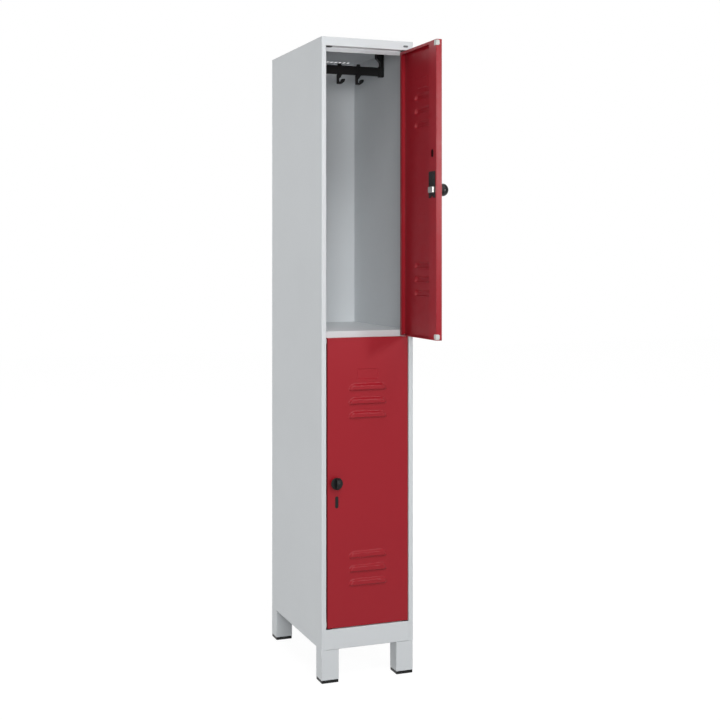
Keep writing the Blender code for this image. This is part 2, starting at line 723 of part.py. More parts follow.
def build_door_panel(name, hinge):
    size = (DOOR_WIDTH, DOOR_THICKNESS, DOOR_HEIGHT)
    pan = box_mesh(name, size, DOOR_EDGE_RADIUS)
    panel = add(name, pan, hinge, door_point(0, 0, 0), material="door_red")
    hollow = box_mesh(
        "door_hollow",
        (DOOR_WIDTH - 2 * SHEET, DOOR_THICKNESS - 2 * SHEET, DOOR_HEIGHT - 2 * SHEET),
    )
    cut(panel, hollow, hinge, door_point(SHEET, SHEET, SHEET))
    window = box_mesh(
        "door_window",
        (
            DOOR_WIDTH - DOOR_LOCK_RETURN - DOOR_HINGE_RETURN,
            DOOR_THICKNESS,
            DOOR_HEIGHT - 2 * DOOR_END_RETURN,
        ),
    )
    cut(panel, window, hinge, door_point(DOOR_LOCK_RETURN, DOOR_THICKNESS / 2, DOOR_END_RETURN))

    centre_x = DOOR_WIDTH / 2
    for index in range(LOUVRE_COUNT):
        step = index * LOUVRE_PITCH
        press_louvre(panel, hinge, centre_x, DOOR_HEIGHT - LOUVRE_BELOW_TOP - step)
        press_louvre(panel, hinge, centre_x, LOUVRE_ABOVE_BOTTOM + step)

    label = box_mesh("label_recess", (LABEL_WIDTH, SHEET, LABEL_HEIGHT))
    label_z = DOOR_HEIGHT - LABEL_BELOW_TOP - LABEL_HEIGHT / 2
    cut(panel, label, hinge, door_point(centre_x - LABEL_WIDTH / 2, LABEL_DEPTH - SHEET, label_z))

    through = DOOR_THICKNESS + 2 * SHEET
    spindle_hole = cylinder_mesh("spindle_hole", SPINDLE_RADIUS + SPINDLE_HOLE_CLEARANCE, through)
    cut(panel, spindle_hole, hinge, door_point(LOCK_INSET, through - SHEET, LOCK_Z), STAND_UP)
    slot = outline_mesh("insert_slot", [stadium(INSERT_WIDTH, INSERT_HEIGHT)], 4 * SHEET)
    slot_z = LOCK_Z - INSERT_BELOW_KNOB
    cut(panel, slot, hinge, door_point(INSERT_INSET, 2 * SHEET, slot_z), STAND_UP)
    for lift in (-RETURN_HOLE_SPREAD, RETURN_HOLE_SPREAD):
        hole = cylinder_mesh("return_hole", RETURN_HOLE_RADIUS, 4 * SHEET)
        hole_z = LOCK_Z + RETURN_HOLE_ABOVE_KNOB + lift
        hole_y = DOOR_THICKNESS + 2 * SHEET
        cut(panel, hole, hinge, door_point(RETURN_HOLE_FROM_EDGE, hole_y, hole_z), STAND_UP)
    for low in (-SHEET, DOOR_HEIGHT - 2 * SHEET):
        neck_hole = cylinder_mesh("neck_hole", BUSH_NECK_RADIUS + SEAM, 3 * SHEET)
        cut(panel, neck_hole, hinge, (0.0, 0.0, low))
    case_window = outline_mesh("case_window", [case_outline(SEAM)], 3 * SHEET)
    cut(panel, case_window, hinge, door_point(LOCK_INSET, DOOR_THICKNESS + SHEET, LOCK_Z), STAND_UP)


def build_door_trim(side, hinge):
    bore = PIN_RADIUS + PIN_CLEARANCE
    body_low = SHEET + SEAM
    profile = [
        (bore, 0.0),
        (bore, body_low + BUSH_BODY_HEIGHT),
        (BUSH_BODY_RADIUS, body_low + BUSH_BODY_HEIGHT),
        (BUSH_BODY_RADIUS, body_low),
        (BUSH_NECK_RADIUS, body_low),
        (BUSH_NECK_RADIUS, 0.0),
    ]
    over = [(r, -z) for r, z in reversed(profile)]
    turned(side + "_door_bottom_bush", profile, hinge, (0, 0, 0), (0, 0, 0), "black_plastic")
    turned(side + "_door_top_bush", over, hinge, (0, 0, DOOR_HEIGHT), (0, 0, 0), "black_plastic")

    slot_z = LOCK_Z - INSERT_BELOW_KNOB
    fit_width = INSERT_WIDTH - 2 * SEAM
    fit_height = INSERT_HEIGHT - 2 * SEAM
    plug = outline_mesh(side + "_slot_insert", [stadium(fit_width, fit_height)], 2 * SHEET)
    spot = door_point(INSERT_INSET, 2 * SHEET, slot_z)
    insert = add(side + "_slot_insert", plug, hinge, spot, STAND_UP, "black_plastic")
    rim_outline = stadium(INSERT_WIDTH + INSERT_RIM, INSERT_HEIGHT + INSERT_RIM)
    rim = outline_mesh("insert_rim", [rim_outline], INSERT_RIM_THICKNESS)
    rim_y = SHEET + SEAM + INSERT_RIM_THICKNESS
    join(insert, rim, hinge, door_point(INSERT_INSET, rim_y, slot_z), STAND_UP)

    middle = BUFFER_INSET + BUFFER_TALL / 2
    back = DOOR_THICKNESS + BUFFER_THICKNESS
    outside = -SEAM - BUFFER_WRAP
    for place, z in (("bottom", middle), ("top", DOOR_HEIGHT - middle)):
        name = side + "_door_" + place + "_buffer"
        inner = flap_outline(BUFFER_REACH - outside, BUFFER_TALL, BUFFER_CORNER)
        pad = outline_mesh(name, [inner], BUFFER_THICKNESS - SEAM)
        buffer = add(name, pad, hinge, door_point(outside, back, z), STAND_UP, "white_plastic")
        edge = flap_outline(back - BUFFER_WRAP_FROM, BUFFER_TALL, BUFFER_CORNER)
        wrap = outline_mesh("buffer_wrap", [edge], BUFFER_WRAP)
        join(buffer, wrap, hinge, door_point(-SEAM, back, z), STAND_FORWARD)


def case_outline(room=0.0):
    """Lock case about the spindle, with a fork at its foot; room widens it into the window it fits."""
    left = CASE_FROM_EDGE - LOCK_INSET - room
    right = DOOR_LOCK_RETURN - LOCK_INSET
    middle = (left + right + room) / 2
    end = right + 10 * room
    low = -CASE_BELOW - room
    return [
        (left, low),
        (middle - CASE_NOTCH_HALF, low),
        (middle, CASE_NOTCH_DEPTH - CASE_BELOW - 2 * room),
        (middle + CASE_NOTCH_HALF, low),
        (end, low),
        (end, CASE_ABOVE + room),
        (left, CASE_ABOVE + room),
    ]


def build_lock_case(side, hinge):
    """Lock case let into the door's return: open towards the front, with a channel for the bolt."""
    name = side + "_lock_case"
    left = CASE_FROM_EDGE - LOCK_INSET
    middle = left + CASE_WIDTH / 2
    spot = door_point(LOCK_INSET, CASE_Y + CASE_DEPTH, LOCK_Z)
    body = outline_mesh(name, [case_outline()], CASE_DEPTH)
    case = add(name, body, hinge, spot, STAND_UP, "black_plastic")
    cavity = box_mesh(
        "case_cavity",
        (
            CASE_WIDTH - 2 * CASE_WALL,
            CASE_DEPTH,
            CASE_ABOVE + CASE_CAVITY_BELOW - CASE_WALL,
        ),
    )
    corner = door_point(
        LOCK_INSET + left + CASE_WALL, CASE_Y - CASE_WALL, LOCK_Z - CASE_CAVITY_BELOW
    )
    cut(case, cavity, hinge, corner)
    channel_tall = BOLT_TALL + 2 * SEAM
    channel = box_mesh("bolt_channel", (2 * CASE_WIDTH, CASE_DEPTH, channel_tall))
    channel_y = CASE_Y + CASE_DEPTH - CASE_WALL - SEAM
    corner = door_point(LOCK_INSET + middle - CASE_WIDTH, channel_y, LOCK_Z - channel_tall / 2)
    cut(case, channel, hinge, corner)


def build_knob(side, hinge):
    axis = empty(side + "_knob_axis", hinge, door_point(LOCK_INSET, 0.0, LOCK_Z))
    bm = bmesh.new()
    bmesh.ops.create_uvsphere(
        bm, u_segments=KNOB_SEGMENTS, v_segments=KNOB_RINGS, radius=KNOB_RADIUS
    )
    bmesh.ops.rotate(bm, verts=bm.verts, matrix=Matrix.Rotation(math.pi / 2, 3, "X"))
    bmesh.ops.translate(bm, verts=bm.verts, vec=(0, -KNOB_CENTRE, 0))
    trim(bm, (0, -KNOB_FOOT, 0), (0, 1, 0))
    name = side + "_knob"
    knob = add(name, mesh_from(name, bm), axis, material="black_plastic")
    span = 2 * KNOB_RADIUS
    for direction in (-1, 1):
        low_x = KNOB_WEB / 2 if direction > 0 else -KNOB_WEB / 2 - span
        cheek = box_mesh("knob_cheek", (span, 2 * span, 2 * span))
        cut(knob, cheek, axis, (low_x, -KNOB_WEB_BASE - 2 * span, -span))
    eye = cylinder_mesh("padlock_eye", KNOB_EYE_RADIUS, 2 * KNOB_WEB, 16)
    cut(knob, eye, axis, (-KNOB_WEB, -KNOB_EYE_FROM_DOOR, 0), (0, math.pi / 2, 0))
    bore = cylinder_mesh("knob_bore", SPINDLE_RADIUS + SEAM, SPINDLE_IN_KNOB + SEAM)
    cut(knob, bore, axis, (0, 0, 0), STAND_UP)

    back = CRANK_Y + CRANK_THICKNESS
    name = side + "_spindle"
    shaft = cylinder_mesh(name, SPINDLE_RADIUS, SPINDLE_IN_KNOB + back - CRANK_THICKNESS / 2)
    spindle = add(name, shaft, axis, (0, back - CRANK_THICKNESS / 2, 0), STAND_UP, "zinc_steel")
    arm = outline_mesh("crank", [stadium(CRANK_RADIUS + CRANK_WIDTH, CRANK_WIDTH)], CRANK_THICKNESS)
    lean = math.pi / 2 - CRANK_SWING
    half_x = CRANK_RADIUS / 2 * math.cos(lean)
    half_z = CRANK_RADIUS / 2 * math.sin(lean)
    join(spindle, arm, axis, (half_x, back, half_z), (math.pi / 2, -lean, 0))
    pin_reach = YOKE_Y + YOKE_THICKNESS - back + CRANK_THICKNESS / 2
    pin = cylinder_mesh("crank_pin", CRANK_PIN_RADIUS, pin_reach, 16)
    join(spindle, pin, axis, (2 * half_x, YOKE_Y + YOKE_THICKNESS, 2 * half_z), STAND_UP)


def build_bolt(side, hinge):
    """Latch bolt with the slotted yoke that the crank pin pushes."""
    name = side + "_latch_bolt"
    bar = box_mesh(name, (BOLT_LENGTH, BOLT_THICKNESS, BOLT_TALL), SHEET / 2)
    corner = door_point(BOLT_FROM_EDGE, BOLT_Y, LOCK_Z - BOLT_TALL / 2)
    bolt = add(name, bar, hinge, corner, material="zinc_steel")
    pin_x = LOCK_INSET + CRANK_RADIUS * math.sin(CRANK_SWING)
    pin_low = CRANK_RADIUS * math.cos(CRANK_SWING)
    slot_half = CRANK_PIN_RADIUS + CRANK_PIN_SLACK
    yoke_half = slot_half + YOKE_WALL
    yoke_low = BOLT_TALL / 4
    yoke_high = CRANK_RADIUS + slot_half + YOKE_WALL
    yoke = box_mesh("yoke", (2 * yoke_half, YOKE_THICKNESS, yoke_high - yoke_low))
    join(bolt, yoke, hinge, door_point(pin_x - yoke_half, YOKE_Y, LOCK_Z + yoke_low))
    web_half = 0.375 * BOLT_TALL
    web_x = pin_x - yoke_half + SHEET / 2
    web_y = YOKE_Y + YOKE_THICKNESS / 2
    web_reach = BOLT_Y + BOLT_THICKNESS / 2 - web_y
    web = box_mesh("bolt_web", (BOLT_FROM_EDGE + BOLT_LENGTH - SHEET - web_x, web_reach, 2 * web_half))
    join(bolt, web, hinge, door_point(web_x, web_y, LOCK_Z - web_half))
    slot_low = pin_low - slot_half
    slot_high = CRANK_RADIUS + slot_half
    slot = box_mesh("yoke_slot", (2 * slot_half, YOKE_THICKNESS + 2 * SEAM, slot_high - slot_low))
    cut(bolt, slot, hinge, door_point(pin_x - slot_half, YOKE_Y - SEAM, LOCK_Z + slot_low))


def build_door(side, z, turn, root):
    hinge = empty(side + "_door_hinge", root, (PIVOT_X, PIVOT_SETBACK, z), turn)
    build_door_panel(side + "_door_panel", hinge)
    build_door_trim(side, hinge)
    build_lock_case(side, hinge)
    build_knob(side, hinge)
    build_bolt(side, hinge)


def bracket_outline():
    """Bracket seen from the front, from the wall inwards and from the ceiling down."""
    bottom = -(RAIL_BELOW_CEILING + RAIL_TALL / 2)
    flare = arc(
        (BRACKET_STEM + BRACKET_FLARE, -BRACKET_LIP - BRACKET_FLARE),
        BRACKET_FLARE,
        math.pi / 2,
        math.pi,
        ARC_STEPS,
    )
    return [(0.0, 0.0), (BRACKET_TOP, 0.0), *flare, (BRACKET_STEM, bottom), (0.0, bottom)]


def build_rail(side, ceiling, root):
    rail_z = ceiling - RAIL_BELOW_CEILING - RAIL_TALL / 2
    wall_gap = INNER_LEFT
    start = wall_gap + SOCKET_FLOOR + SEAM
    length = WIDTH - 2 * start
    hollow = stadium(RAIL_THICK - 2 * RAIL_WALL, RAIL_TALL - 2 * RAIL_WALL)
    tube = outline_mesh(side + "_coat_rail", [stadium(RAIL_THICK, RAIL_TALL), hollow], length)
    spot = (start, RAIL_SETBACK, rail_z)
    add(side + "_coat_rail", tube, root, spot, SWEEP_ALONG_X, "black_plastic")

    for end, facing in (("left", 1), ("right", -1)):
        name = side + "_" + end + "_rail_bracket"
        wall_x = wall_gap if facing > 0 else WIDTH - wall_gap
        outline = [(facing * x, y) for x, y in bracket_outline()]
        gusset = outline_mesh(name, [outline], BRACKET_THICK)
        place = (wall_x, RAIL_SETBACK + BRACKET_THICK / 2, ceiling - SEAM)
        bracket = add(name, gusset, root, place, STAND_UP, "black_plastic")
        sleeve = stadium(RAIL_THICK + 2 * SOCKET_WALL, RAIL_TALL + 2 * SOCKET_WALL)
        socket = outline_mesh("rail_socket", [sleeve], SOCKET_WIDTH)
        socket_x = wall_x if facing > 0 else wall_x - SOCKET_WIDTH
        join(bracket, socket, root, (socket_x, RAIL_SETBACK, rail_z), SWEEP_ALONG_X)
        room = outline_mesh(
            "rail_room", [stadium(RAIL_THICK + 2 * SEAM, RAIL_TALL + 2 * SEAM)], 2 * SOCKET_WIDTH
        )
        room_x = wall_x + SOCKET_FLOOR if facing > 0 else wall_x - SOCKET_FLOOR - 2 * SOCKET_WIDTH
        cut(bracket, room, root, (room_x, RAIL_SETBACK, rail_z), SWEEP_ALONG_X)

    for number, x in enumerate(HOOK_PLACES, start=1):
        build_hook("%s_hook_%d" % (side, number), x, rail_z, root)


def hook_rod_points():
    """Centre line of the hook below the rail, in x and z from the middle of its saddle."""
    top = -RAIL_TALL / 2 - HOOK_FIT - HOOK_SADDLE_WALL / 2
    foot = top - HOOK_DROP
    bend = arc((0.0, foot), HOOK_BEND, math.pi, 2 * math.pi - HOOK_TIP_ANGLE, HOOK_BEND_STEPS)
    end_x, end_z = bend[-1]
    lean = math.pi / 2 - HOOK_TIP_ANGLE
    tip = (end_x + HOOK_TIP * math.cos(lean), end_z + HOOK_TIP * math.sin(lean))
    shift = HOOK_BEND - HOOK_SADDLE_WIDTH / 2 + HOOK_ROD
    return [(x + shift, z) for x, z in [(-HOOK_BEND, top), *bend, tip]]


def build_hook(name, x, rail_z, root):
    """Black hook: a sleeve round the rail with a tab on top and a J below it."""
    outer = stadium(
        RAIL_THICK + 2 * (HOOK_FIT + HOOK_SADDLE_WALL), RAIL_TALL + 2 * (HOOK_FIT + HOOK_SADDLE_WALL)
    )
    inner = stadium(RAIL_THICK + 2 * HOOK_FIT, RAIL_TALL + 2 * HOOK_FIT)
    sleeve = outline_mesh(name, [outer, inner], HOOK_SADDLE_WIDTH)
    low_x = x - HOOK_SADDLE_WIDTH / 2
    hook = add(name, sleeve, root, (low_x, RAIL_SETBACK, rail_z), SWEEP_ALONG_X, "black_plastic")

    curve = bpy.data.curves.new("hook_rod", "CURVE")
    curve.dimensions = "3D"
    curve.bevel_depth = HOOK_ROD
    curve.bevel_resolution = 2
    curve.use_fill_caps = True
    points = hook_rod_points()
    spline = curve.splines.new("POLY")
    spline.points.add(len(points) - 1)
    for point, (px, pz) in zip(spline.points, points):
        point.co = (px, 0.0, pz, 1.0)
    join(hook, curve_to_mesh(curve), root, (x, RAIL_SETBACK, rail_z))

    top = RAIL_TALL / 2 + HOOK_FIT + HOOK_SADDLE_WALL / 2
    half = HOOK_TAB_WIDTH / 2
    tab_outline = [(half, 0.0), *arc((0, HOOK_TAB_HEIGHT - half), half, 0, math.pi, 4), (-half, 0.0)]
    tab = outline_mesh("hook_tab", [tab_outline], RAIL_THICK / 2)
    join(hook, tab, root, (x, RAIL_SETBACK + RAIL_THICK / 4, rail_z + top), STAND_UP)


def build_plug(root):
    plug = outline_mesh("oval_plug", [stadium(PLUG_WIDTH, PLUG_HEIGHT)], PLUG_THICKNESS)
    spot = (WIDTH - PLUG_FROM_RIGHT, -SEAM, RAIL_UNDERSIDE + PLUG_ABOVE_RAIL)
    add("oval_plug", plug, root, spot, STAND_UP, "plug_grey")


def build_locker():
    root = empty("locker_floor_centre", None, (-WIDTH / 2, -ORIGIN_Y, 0.0))
    build_sides(root)
    build_back(root)
    build_roof(root)
    build_shelf(root)
    build_bottom(root)
    build_feet(root)
    build_hinges(root)
    build_plug(root)
    build_rail("upper", HEIGHT - SHEET, root)
    build_rail("lower", SHELF_TOP - SHEET, root)
    build_door("upper", UPPER_DOOR_Z, UPPER_DOOR_OPEN, root)
    build_door("lower", LOWER_DOOR_Z, 0.0, root)


build_locker()
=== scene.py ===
"""Looks of the double tier locker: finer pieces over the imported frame, materials, light and camera.

Cabinet coordinates, in metres, as in the part's source: x runs right from the left side, y runs back
from the front faces and z runs up from the ground. place() turns them into the frame's own.
"""

import json
import math

import bmesh
import bpy
from mathutils import Matrix, Vector


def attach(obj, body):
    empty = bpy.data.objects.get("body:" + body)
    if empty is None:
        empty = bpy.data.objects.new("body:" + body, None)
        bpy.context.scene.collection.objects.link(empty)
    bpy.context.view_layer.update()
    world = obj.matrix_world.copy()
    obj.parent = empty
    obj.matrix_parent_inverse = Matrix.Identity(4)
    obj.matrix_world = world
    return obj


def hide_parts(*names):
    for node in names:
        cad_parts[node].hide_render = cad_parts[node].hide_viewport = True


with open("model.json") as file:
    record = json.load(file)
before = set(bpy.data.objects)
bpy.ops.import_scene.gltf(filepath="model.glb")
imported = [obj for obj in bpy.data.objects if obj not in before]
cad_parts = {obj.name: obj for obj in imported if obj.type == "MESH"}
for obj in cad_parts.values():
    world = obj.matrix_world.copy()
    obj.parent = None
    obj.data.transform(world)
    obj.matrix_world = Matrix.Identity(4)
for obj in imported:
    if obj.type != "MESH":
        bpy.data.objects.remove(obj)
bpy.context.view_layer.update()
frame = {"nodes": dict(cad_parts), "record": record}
SCENE = bpy.context.scene

# Sizes shared with the part's source; ORIGIN is the frame's origin in cabinet coordinates
WIDTH = 0.300
DEPTH = 0.500
SHEET = 0.001
ORIGIN = Vector((0.150, 0.1245, 0.0))

# Distances under which points count as one
MERGE = 1e-6
FINE_MERGE = 1e-7

# The middle of a noise, which holds nearly all its values, and the places of the colours on a Mix node
NOISE_MIDDLE = (0.3, 0.7)
MIX_FACTOR = 0
MIX_LOW = 6
MIX_HIGH = 7
MIX_RESULT = 2

# Paint and plastic colours, linear
BODY_GREY = (0.640, 0.668, 0.686)
DOOR_RED = (0.316, 0.0086, 0.0175)
BLACK = (0.0060, 0.0062, 0.0064)
BUFFER_WHITE = (0.56, 0.58, 0.56)
PLUG_GREY = (0.120, 0.125, 0.130)
ZINC = (0.62, 0.62, 0.60)


def place(x, y, z):
    return Vector((x, y, z)) - ORIGIN


class Graph:
    """Short way to add the nodes of a material or of the world, with their values and links."""

    def __init__(self, owner):
        owner.use_nodes = True
        self.tree = owner.node_tree

    def feed(self, node, values=None, links=None):
        """Sets values and links at a node's inputs, which are given by name or number."""
        for key, value in (values or {}).items():
            node.inputs[key].default_value = value
        for key, out in (links or {}).items():
            self.tree.links.new(out, node.inputs[key])

    def add(self, kind, values=None, links=None, **settings):
        node = self.tree.nodes.new(kind)
        for key, value in settings.items():
            setattr(node, key, value)
        self.feed(node, values, links)
        return node

    def coords(self):
        return self.add("ShaderNodeTexCoord").outputs["Object"]

    def noise(self, scale, detail, roughness=0.55, stretch=(1, 1, 1)):
        mapping = self.add("ShaderNodeMapping", {"Scale": stretch}, {"Vector": self.coords()})
        values = {"Scale": scale, "Detail": detail, "Roughness": roughness}
        node = self.add("ShaderNodeTexNoise", values, {"Vector": mapping.outputs["Vector"]})
        return node.outputs["Fac"]

    def ramp(self, value, low=0.0, high=1.0, span=NOISE_MIDDLE):
        """Spreads a span of values, by default the middle of a noise, over those from low to high."""
        values = {"From Min": span[0], "From Max": span[1], "To Min": low, "To Max": high}
        return self.add("ShaderNodeMapRange", values, {"Value": value}).outputs["Result"]

    def mix(self, fac, low, high):
        """Mixes a tone, which is a colour or the output of another node, with a colour."""
        values = {MIX_HIGH: (*high, 1.0)}
        links = {MIX_FACTOR: fac}
        if isinstance(low, tuple):
            values[MIX_LOW] = (*low, 1.0)
        else:
            links[MIX_LOW] = low
        return self.add("ShaderNodeMix", values, links, data_type="RGBA").outputs[MIX_RESULT]

    def bump(self, fac, strength, distance, under=None):
        links = {"Height": fac}
        if under:
            links["Normal"] = under
        node = self.add("ShaderNodeBump", {"Strength": strength, "Distance": distance}, links)
        return node.outputs["Normal"]

    def finish(self, values, colour, roughness, normal):
        """Sets what is the same all over on the shader, and links what varies over the surface to it."""
        links = {"Base Color": colour, "Roughness": roughness, "Normal": normal}
        self.feed(self.tree.nodes["Principled BSDF"], values, links)

    def seen_directly(self):
        """One for camera, glossy and transmission rays, nought for the rays that light things."""
        path = self.add("ShaderNodeLightPath")
        total = path.outputs["Is Camera Ray"]
        for kind in ("Is Glossy Ray", "Is Transmission Ray"):
            links = {0: total, 1: path.outputs[kind]}
            total = self.add("ShaderNodeMath", links=links, operation="MAXIMUM").outputs["Value"]
        return total


def shade(colour, factor):
    return tuple(min(1.0, c * factor) for c in colour)


def powder_coat(name, colour, roughness, specular):
    """Baked powder paint: faint clouds of tone, a fine speckle and an orange peel skin."""
    material = bpy.data.materials.new(name)
    g = Graph(material)
    gloss_range = 0.03
    clouds = g.ramp(g.noise(scale=3.5, detail=2.0))
    tone = g.mix(clouds, shade(colour, 0.985), shade(colour, 1.015))
    speckle = g.ramp(g.noise(scale=900.0, detail=2.0), high=0.25)
    tone = g.mix(speckle, tone, shade(colour, 0.93))
    peel = g.noise(scale=420.0, detail=2.0, roughness=0.5)
    grain = g.noise(scale=1500.0, detail=2.0, roughness=0.6)
    skin = g.bump(peel, strength=0.10, distance=0.0004)
    normal = g.bump(grain, strength=0.06, distance=0.0002, under=skin)
    gloss = g.ramp(g.noise(scale=60.0, detail=3.0), roughness - gloss_range, roughness + gloss_range)
    g.finish({"Specular IOR Level": specular}, tone, gloss, normal)
    return material


def moulded_plastic(name, colour, roughness, specular):
    """Moulded plastic: a spark-eroded grain, faint flow clouds and handling sheen."""
    material = bpy.data.materials.new(name)
    g = Graph(material)
    gloss_range = 0.06
    clouds = g.ramp(g.noise(scale=40.0, detail=3.0))
    tone = g.mix(clouds, shade(colour, 0.85), shade(colour, 1.2))
    grain = g.noise(scale=1300.0, detail=3.0, roughness=0.65)
    normal = g.bump(grain, strength=0.18, distance=0.0002)
    gloss = g.ramp(g.noise(scale=160.0, detail=3.0), roughness - gloss_range, roughness + gloss_range)
    g.finish({"Specular IOR Level": specular}, tone, gloss, normal)
    return material


def zinc_plate(name, colour):
    """Zinc-plated steel: drawn streaks along the piece and soft spangle."""
    material = bpy.data.materials.new(name)
    g = Graph(material)
    streak = g.noise(scale=260.0, detail=4.0, roughness=0.7, stretch=(0.15, 1.0, 1.0))
    spangle = g.ramp(g.noise(scale=190.0, detail=2.0))
    tone = g.mix(spangle, shade(colour, 0.86), shade(colour, 1.08))
    normal = g.bump(streak, strength=0.12, distance=0.0002)
    gloss = g.ramp(streak, low=0.26, high=0.40)
    g.finish({"Metallic": 1.0}, tone, gloss, normal)
    return material


MATERIALS = {
    "body_grey": powder_coat("body_paint", BODY_GREY, roughness=0.42, specular=0.30),
    "door_red": powder_coat("door_paint", DOOR_RED, roughness=0.33, specular=0.27),
    "black_plastic": moulded_plastic("black_moulding", BLACK, roughness=0.42, specular=0.22),
    "white_plastic": moulded_plastic("white_moulding", BUFFER_WHITE, roughness=0.40, specular=0.45),
    "plug_grey": moulded_plastic("grey_moulding", PLUG_GREY, roughness=0.45, specular=0.45),
    "zinc_steel": zinc_plate("zinc", ZINC),
}


def dress_cad():
    """Gives every node that is still shown the material of its slot."""
    for row in frame["record"]["subparts"]:
        node = frame["nodes"][row["node"]]
        if node.hide_render:
            continue
        node.data.materials.clear()
        node.data.materials.append(MATERIALS[row["material_slot"]])


# Door pan: its size, its free edge, hinge axis and foot in the cabinet, and the knob's axis on it
DOOR_W = 0.265
DOOR_H = 0.8765
DOOR_T = 0.018
FREE_X = 0.0175
PIVOT = (0.2745, 0.006)
DOOR_Z = {"upper": 1.0435, "lower": 0.164}
LOCK_X = 0.0275
LOCK_Z = 0.43825


def on_door(side):
    """Turns door points (x from the free edge, y from the front, z from the foot) into frame points."""
    def convert(point):
        x, y, z = point
        x, y = x - PIVOT[0] + FREE_X, y - PIVOT[1]
        if side == "upper":
            x, y = -y, x
        return place(PIVOT[0] + x, PIVOT[1] + y, DOOR_Z[side] + z)
    return convert


def in_cabinet(point):
    return place(*point)


# Helpers for the finer pieces


def finish_piece(name, bm, slot, body, nodes, convert=in_cabinet, sharp=32, merge=MERGE):
    """Makes the object of a piece, smooth up to the angle sharp in degrees, with its flats left flat."""
    for vert in bm.verts:
        vert.co = convert(vert.co)
    bmesh.ops.remove_doubles(bm, verts=bm.verts, dist=merge)
    bmesh.ops.dissolve_degenerate(bm, edges=bm.edges, dist=merge)
    bmesh.ops.recalc_face_normals(bm, faces=bm.faces)
    mesh = bpy.data.meshes.new(name)
    bm.to_mesh(mesh)
    bm.free()
    mesh.shade_smooth()
    mesh.set_sharp_from_angle(angle=math.radians(sharp))
    piece = bpy.data.objects.new(name, mesh)
    SCENE.collection.objects.link(piece)
    weigh = piece.modifiers.new("flats", "WEIGHTED_NORMAL")
    weigh.keep_sharp = True
    graph = bpy.context.evaluated_depsgraph_get()
    piece.data = bpy.data.meshes.new_from_object(piece.evaluated_get(graph))
    piece.data.name = name
    piece.modifiers.clear()
    piece.data.materials.clear()
    piece.data.materials.append(MATERIALS[slot])
    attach(piece, body)
    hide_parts(*nodes)
    return piece


def thicken(bm, thickness):
    """Gives an open skin its sheet thickness, on the side its normals point away from."""
    mesh = bpy.data.meshes.new("skin")
    bm.to_mesh(mesh)
    bm.free()
    holder = bpy.data.objects.new("skin", mesh)
    SCENE.collection.objects.link(holder)
    solid = holder.modifiers.new("sheet", "SOLIDIFY")
    solid.thickness = thickness
    solid.offset = -1.0
    solid.use_even_offset = True
    solid.use_quality_normals = True
    graph = bpy.context.evaluated_depsgraph_get()
    thick = bpy.data.meshes.new_from_object(holder.evaluated_get(graph))
    bpy.data.objects.remove(holder)
    out = bmesh.new()
    out.from_mesh(thick)
    bpy.data.meshes.remove(thick)
    bpy.data.meshes.remove(mesh)
    return out


def arc_points(centre, radius, start, end, steps):
    """Points of an arc, both ends included; the angles are in degrees."""
    turns = [math.radians(start + (end - start) * i / steps) for i in range(steps + 1)]
    return [(centre[0] + radius * math.cos(t), centre[1] + radius * math.sin(t)) for t in turns]


def smooth_step(t):
    t = min(1.0, max(0.0, t))
    return t * t * (3.0 - 2.0 * t)


def grow_loops(bm, loops):
    """Faces between closed loops of points that lie one after the other; returns the loops' vertices."""
    rows = [[bm.verts.new(p) for p in loop] for loop in loops]
    count = len(rows[0])
    for low, high in zip(rows, rows[1:]):
        for i in range(count):
            j = (i + 1) % count
            bm.faces.new((low[i], low[j], high[j], high[i]))
    return rows


# Doors

# Louvres: width, height, corner radius, how far they stand out, width of the sloping band, height and depth
# of the roll along the lip, how far the lip hangs, and how much gentler the end on the hinge side is
LOUVRE_W = 0.127
LOUVRE_R = 0.0205
LOUVRE_CORNER = 0.0195
LOUVRE_H = 0.0062
LOUVRE_BAND = 0.0078
LOUVRE_ROLL = 0.0042
LOUVRE_FALL = 0.0034
LOUVRE_DROP = 0.0008
LOUVRE_FADE = 0.9

# Heights of the louvres' lips: three under the label recess and three over the foot of the door
LOUVRE_PITCH = 0.042
LOUVRES_DOWN = 0.160
LOUVRES_UP = 0.124
LOUVRES = [DOOR_H - LOUVRES_DOWN - LOUVRE_PITCH * i for i in range(3)]
LOUVRES += [LOUVRES_UP + LOUVRE_PITCH * i for i in range(3)]

# Label recess: width, height, its middle under the top and over the foot, depth and the width of its slope
LABEL_W = 0.066
LABEL_TALL = 0.030
LABEL_DOWN = 0.111
LABEL_Z = DOOR_H - LABEL_DOWN
LABEL_DEPTH = 0.0013
LABEL_SLOPE = 0.0012

# Radius of the pan's folds, its rear returns, and the lip at the inner edge of the lock return
EDGE_R = 0.0011
LOCK_RETURN = 0.050
HINGE_RETURN = 0.0135
BOTTOM_RETURN = 0.0030
TOP_RETURN = 0.0085
LIP_Y = 0.0035
LIP_MARGIN = 0.012

# Hole of two rounds in the lock return: its middle, the rounds' radius and their distance from the middle
HOLE_X = 0.029
HOLE_UP = 0.1065
HOLE_R = 0.0092
HOLE_STEP = 0.0030

# Spacing of the front skin's points on slopes, flats and lips, and the margin round each form
SLOPE_STEP = 0.0011
FLAT_STEP = 0.008
LIP_STEP = 0.0006
RIM_STEP = 0.001
LABEL_STEP = 0.0007
UNDER_LIP = 0.0025
MARGIN = 0.0006

# Where each door's free edge and top lie, as the photo shows them
DOOR_FIT = {"upper": (0.0, 0.8740), "lower": (0.0015, DOOR_H)}


def even_rise(t, ease=0.3):
    """From nought to one at an even slope, eased at both ends."""
    t = min(1.0, max(0.0, t))
    if t > 0.5:
        return 1.0 - even_rise(1.0 - t, ease)
    if t < ease:
        return t * t / (2 * ease * (1 - ease))
    return (t - ease / 2) / (1 - ease)


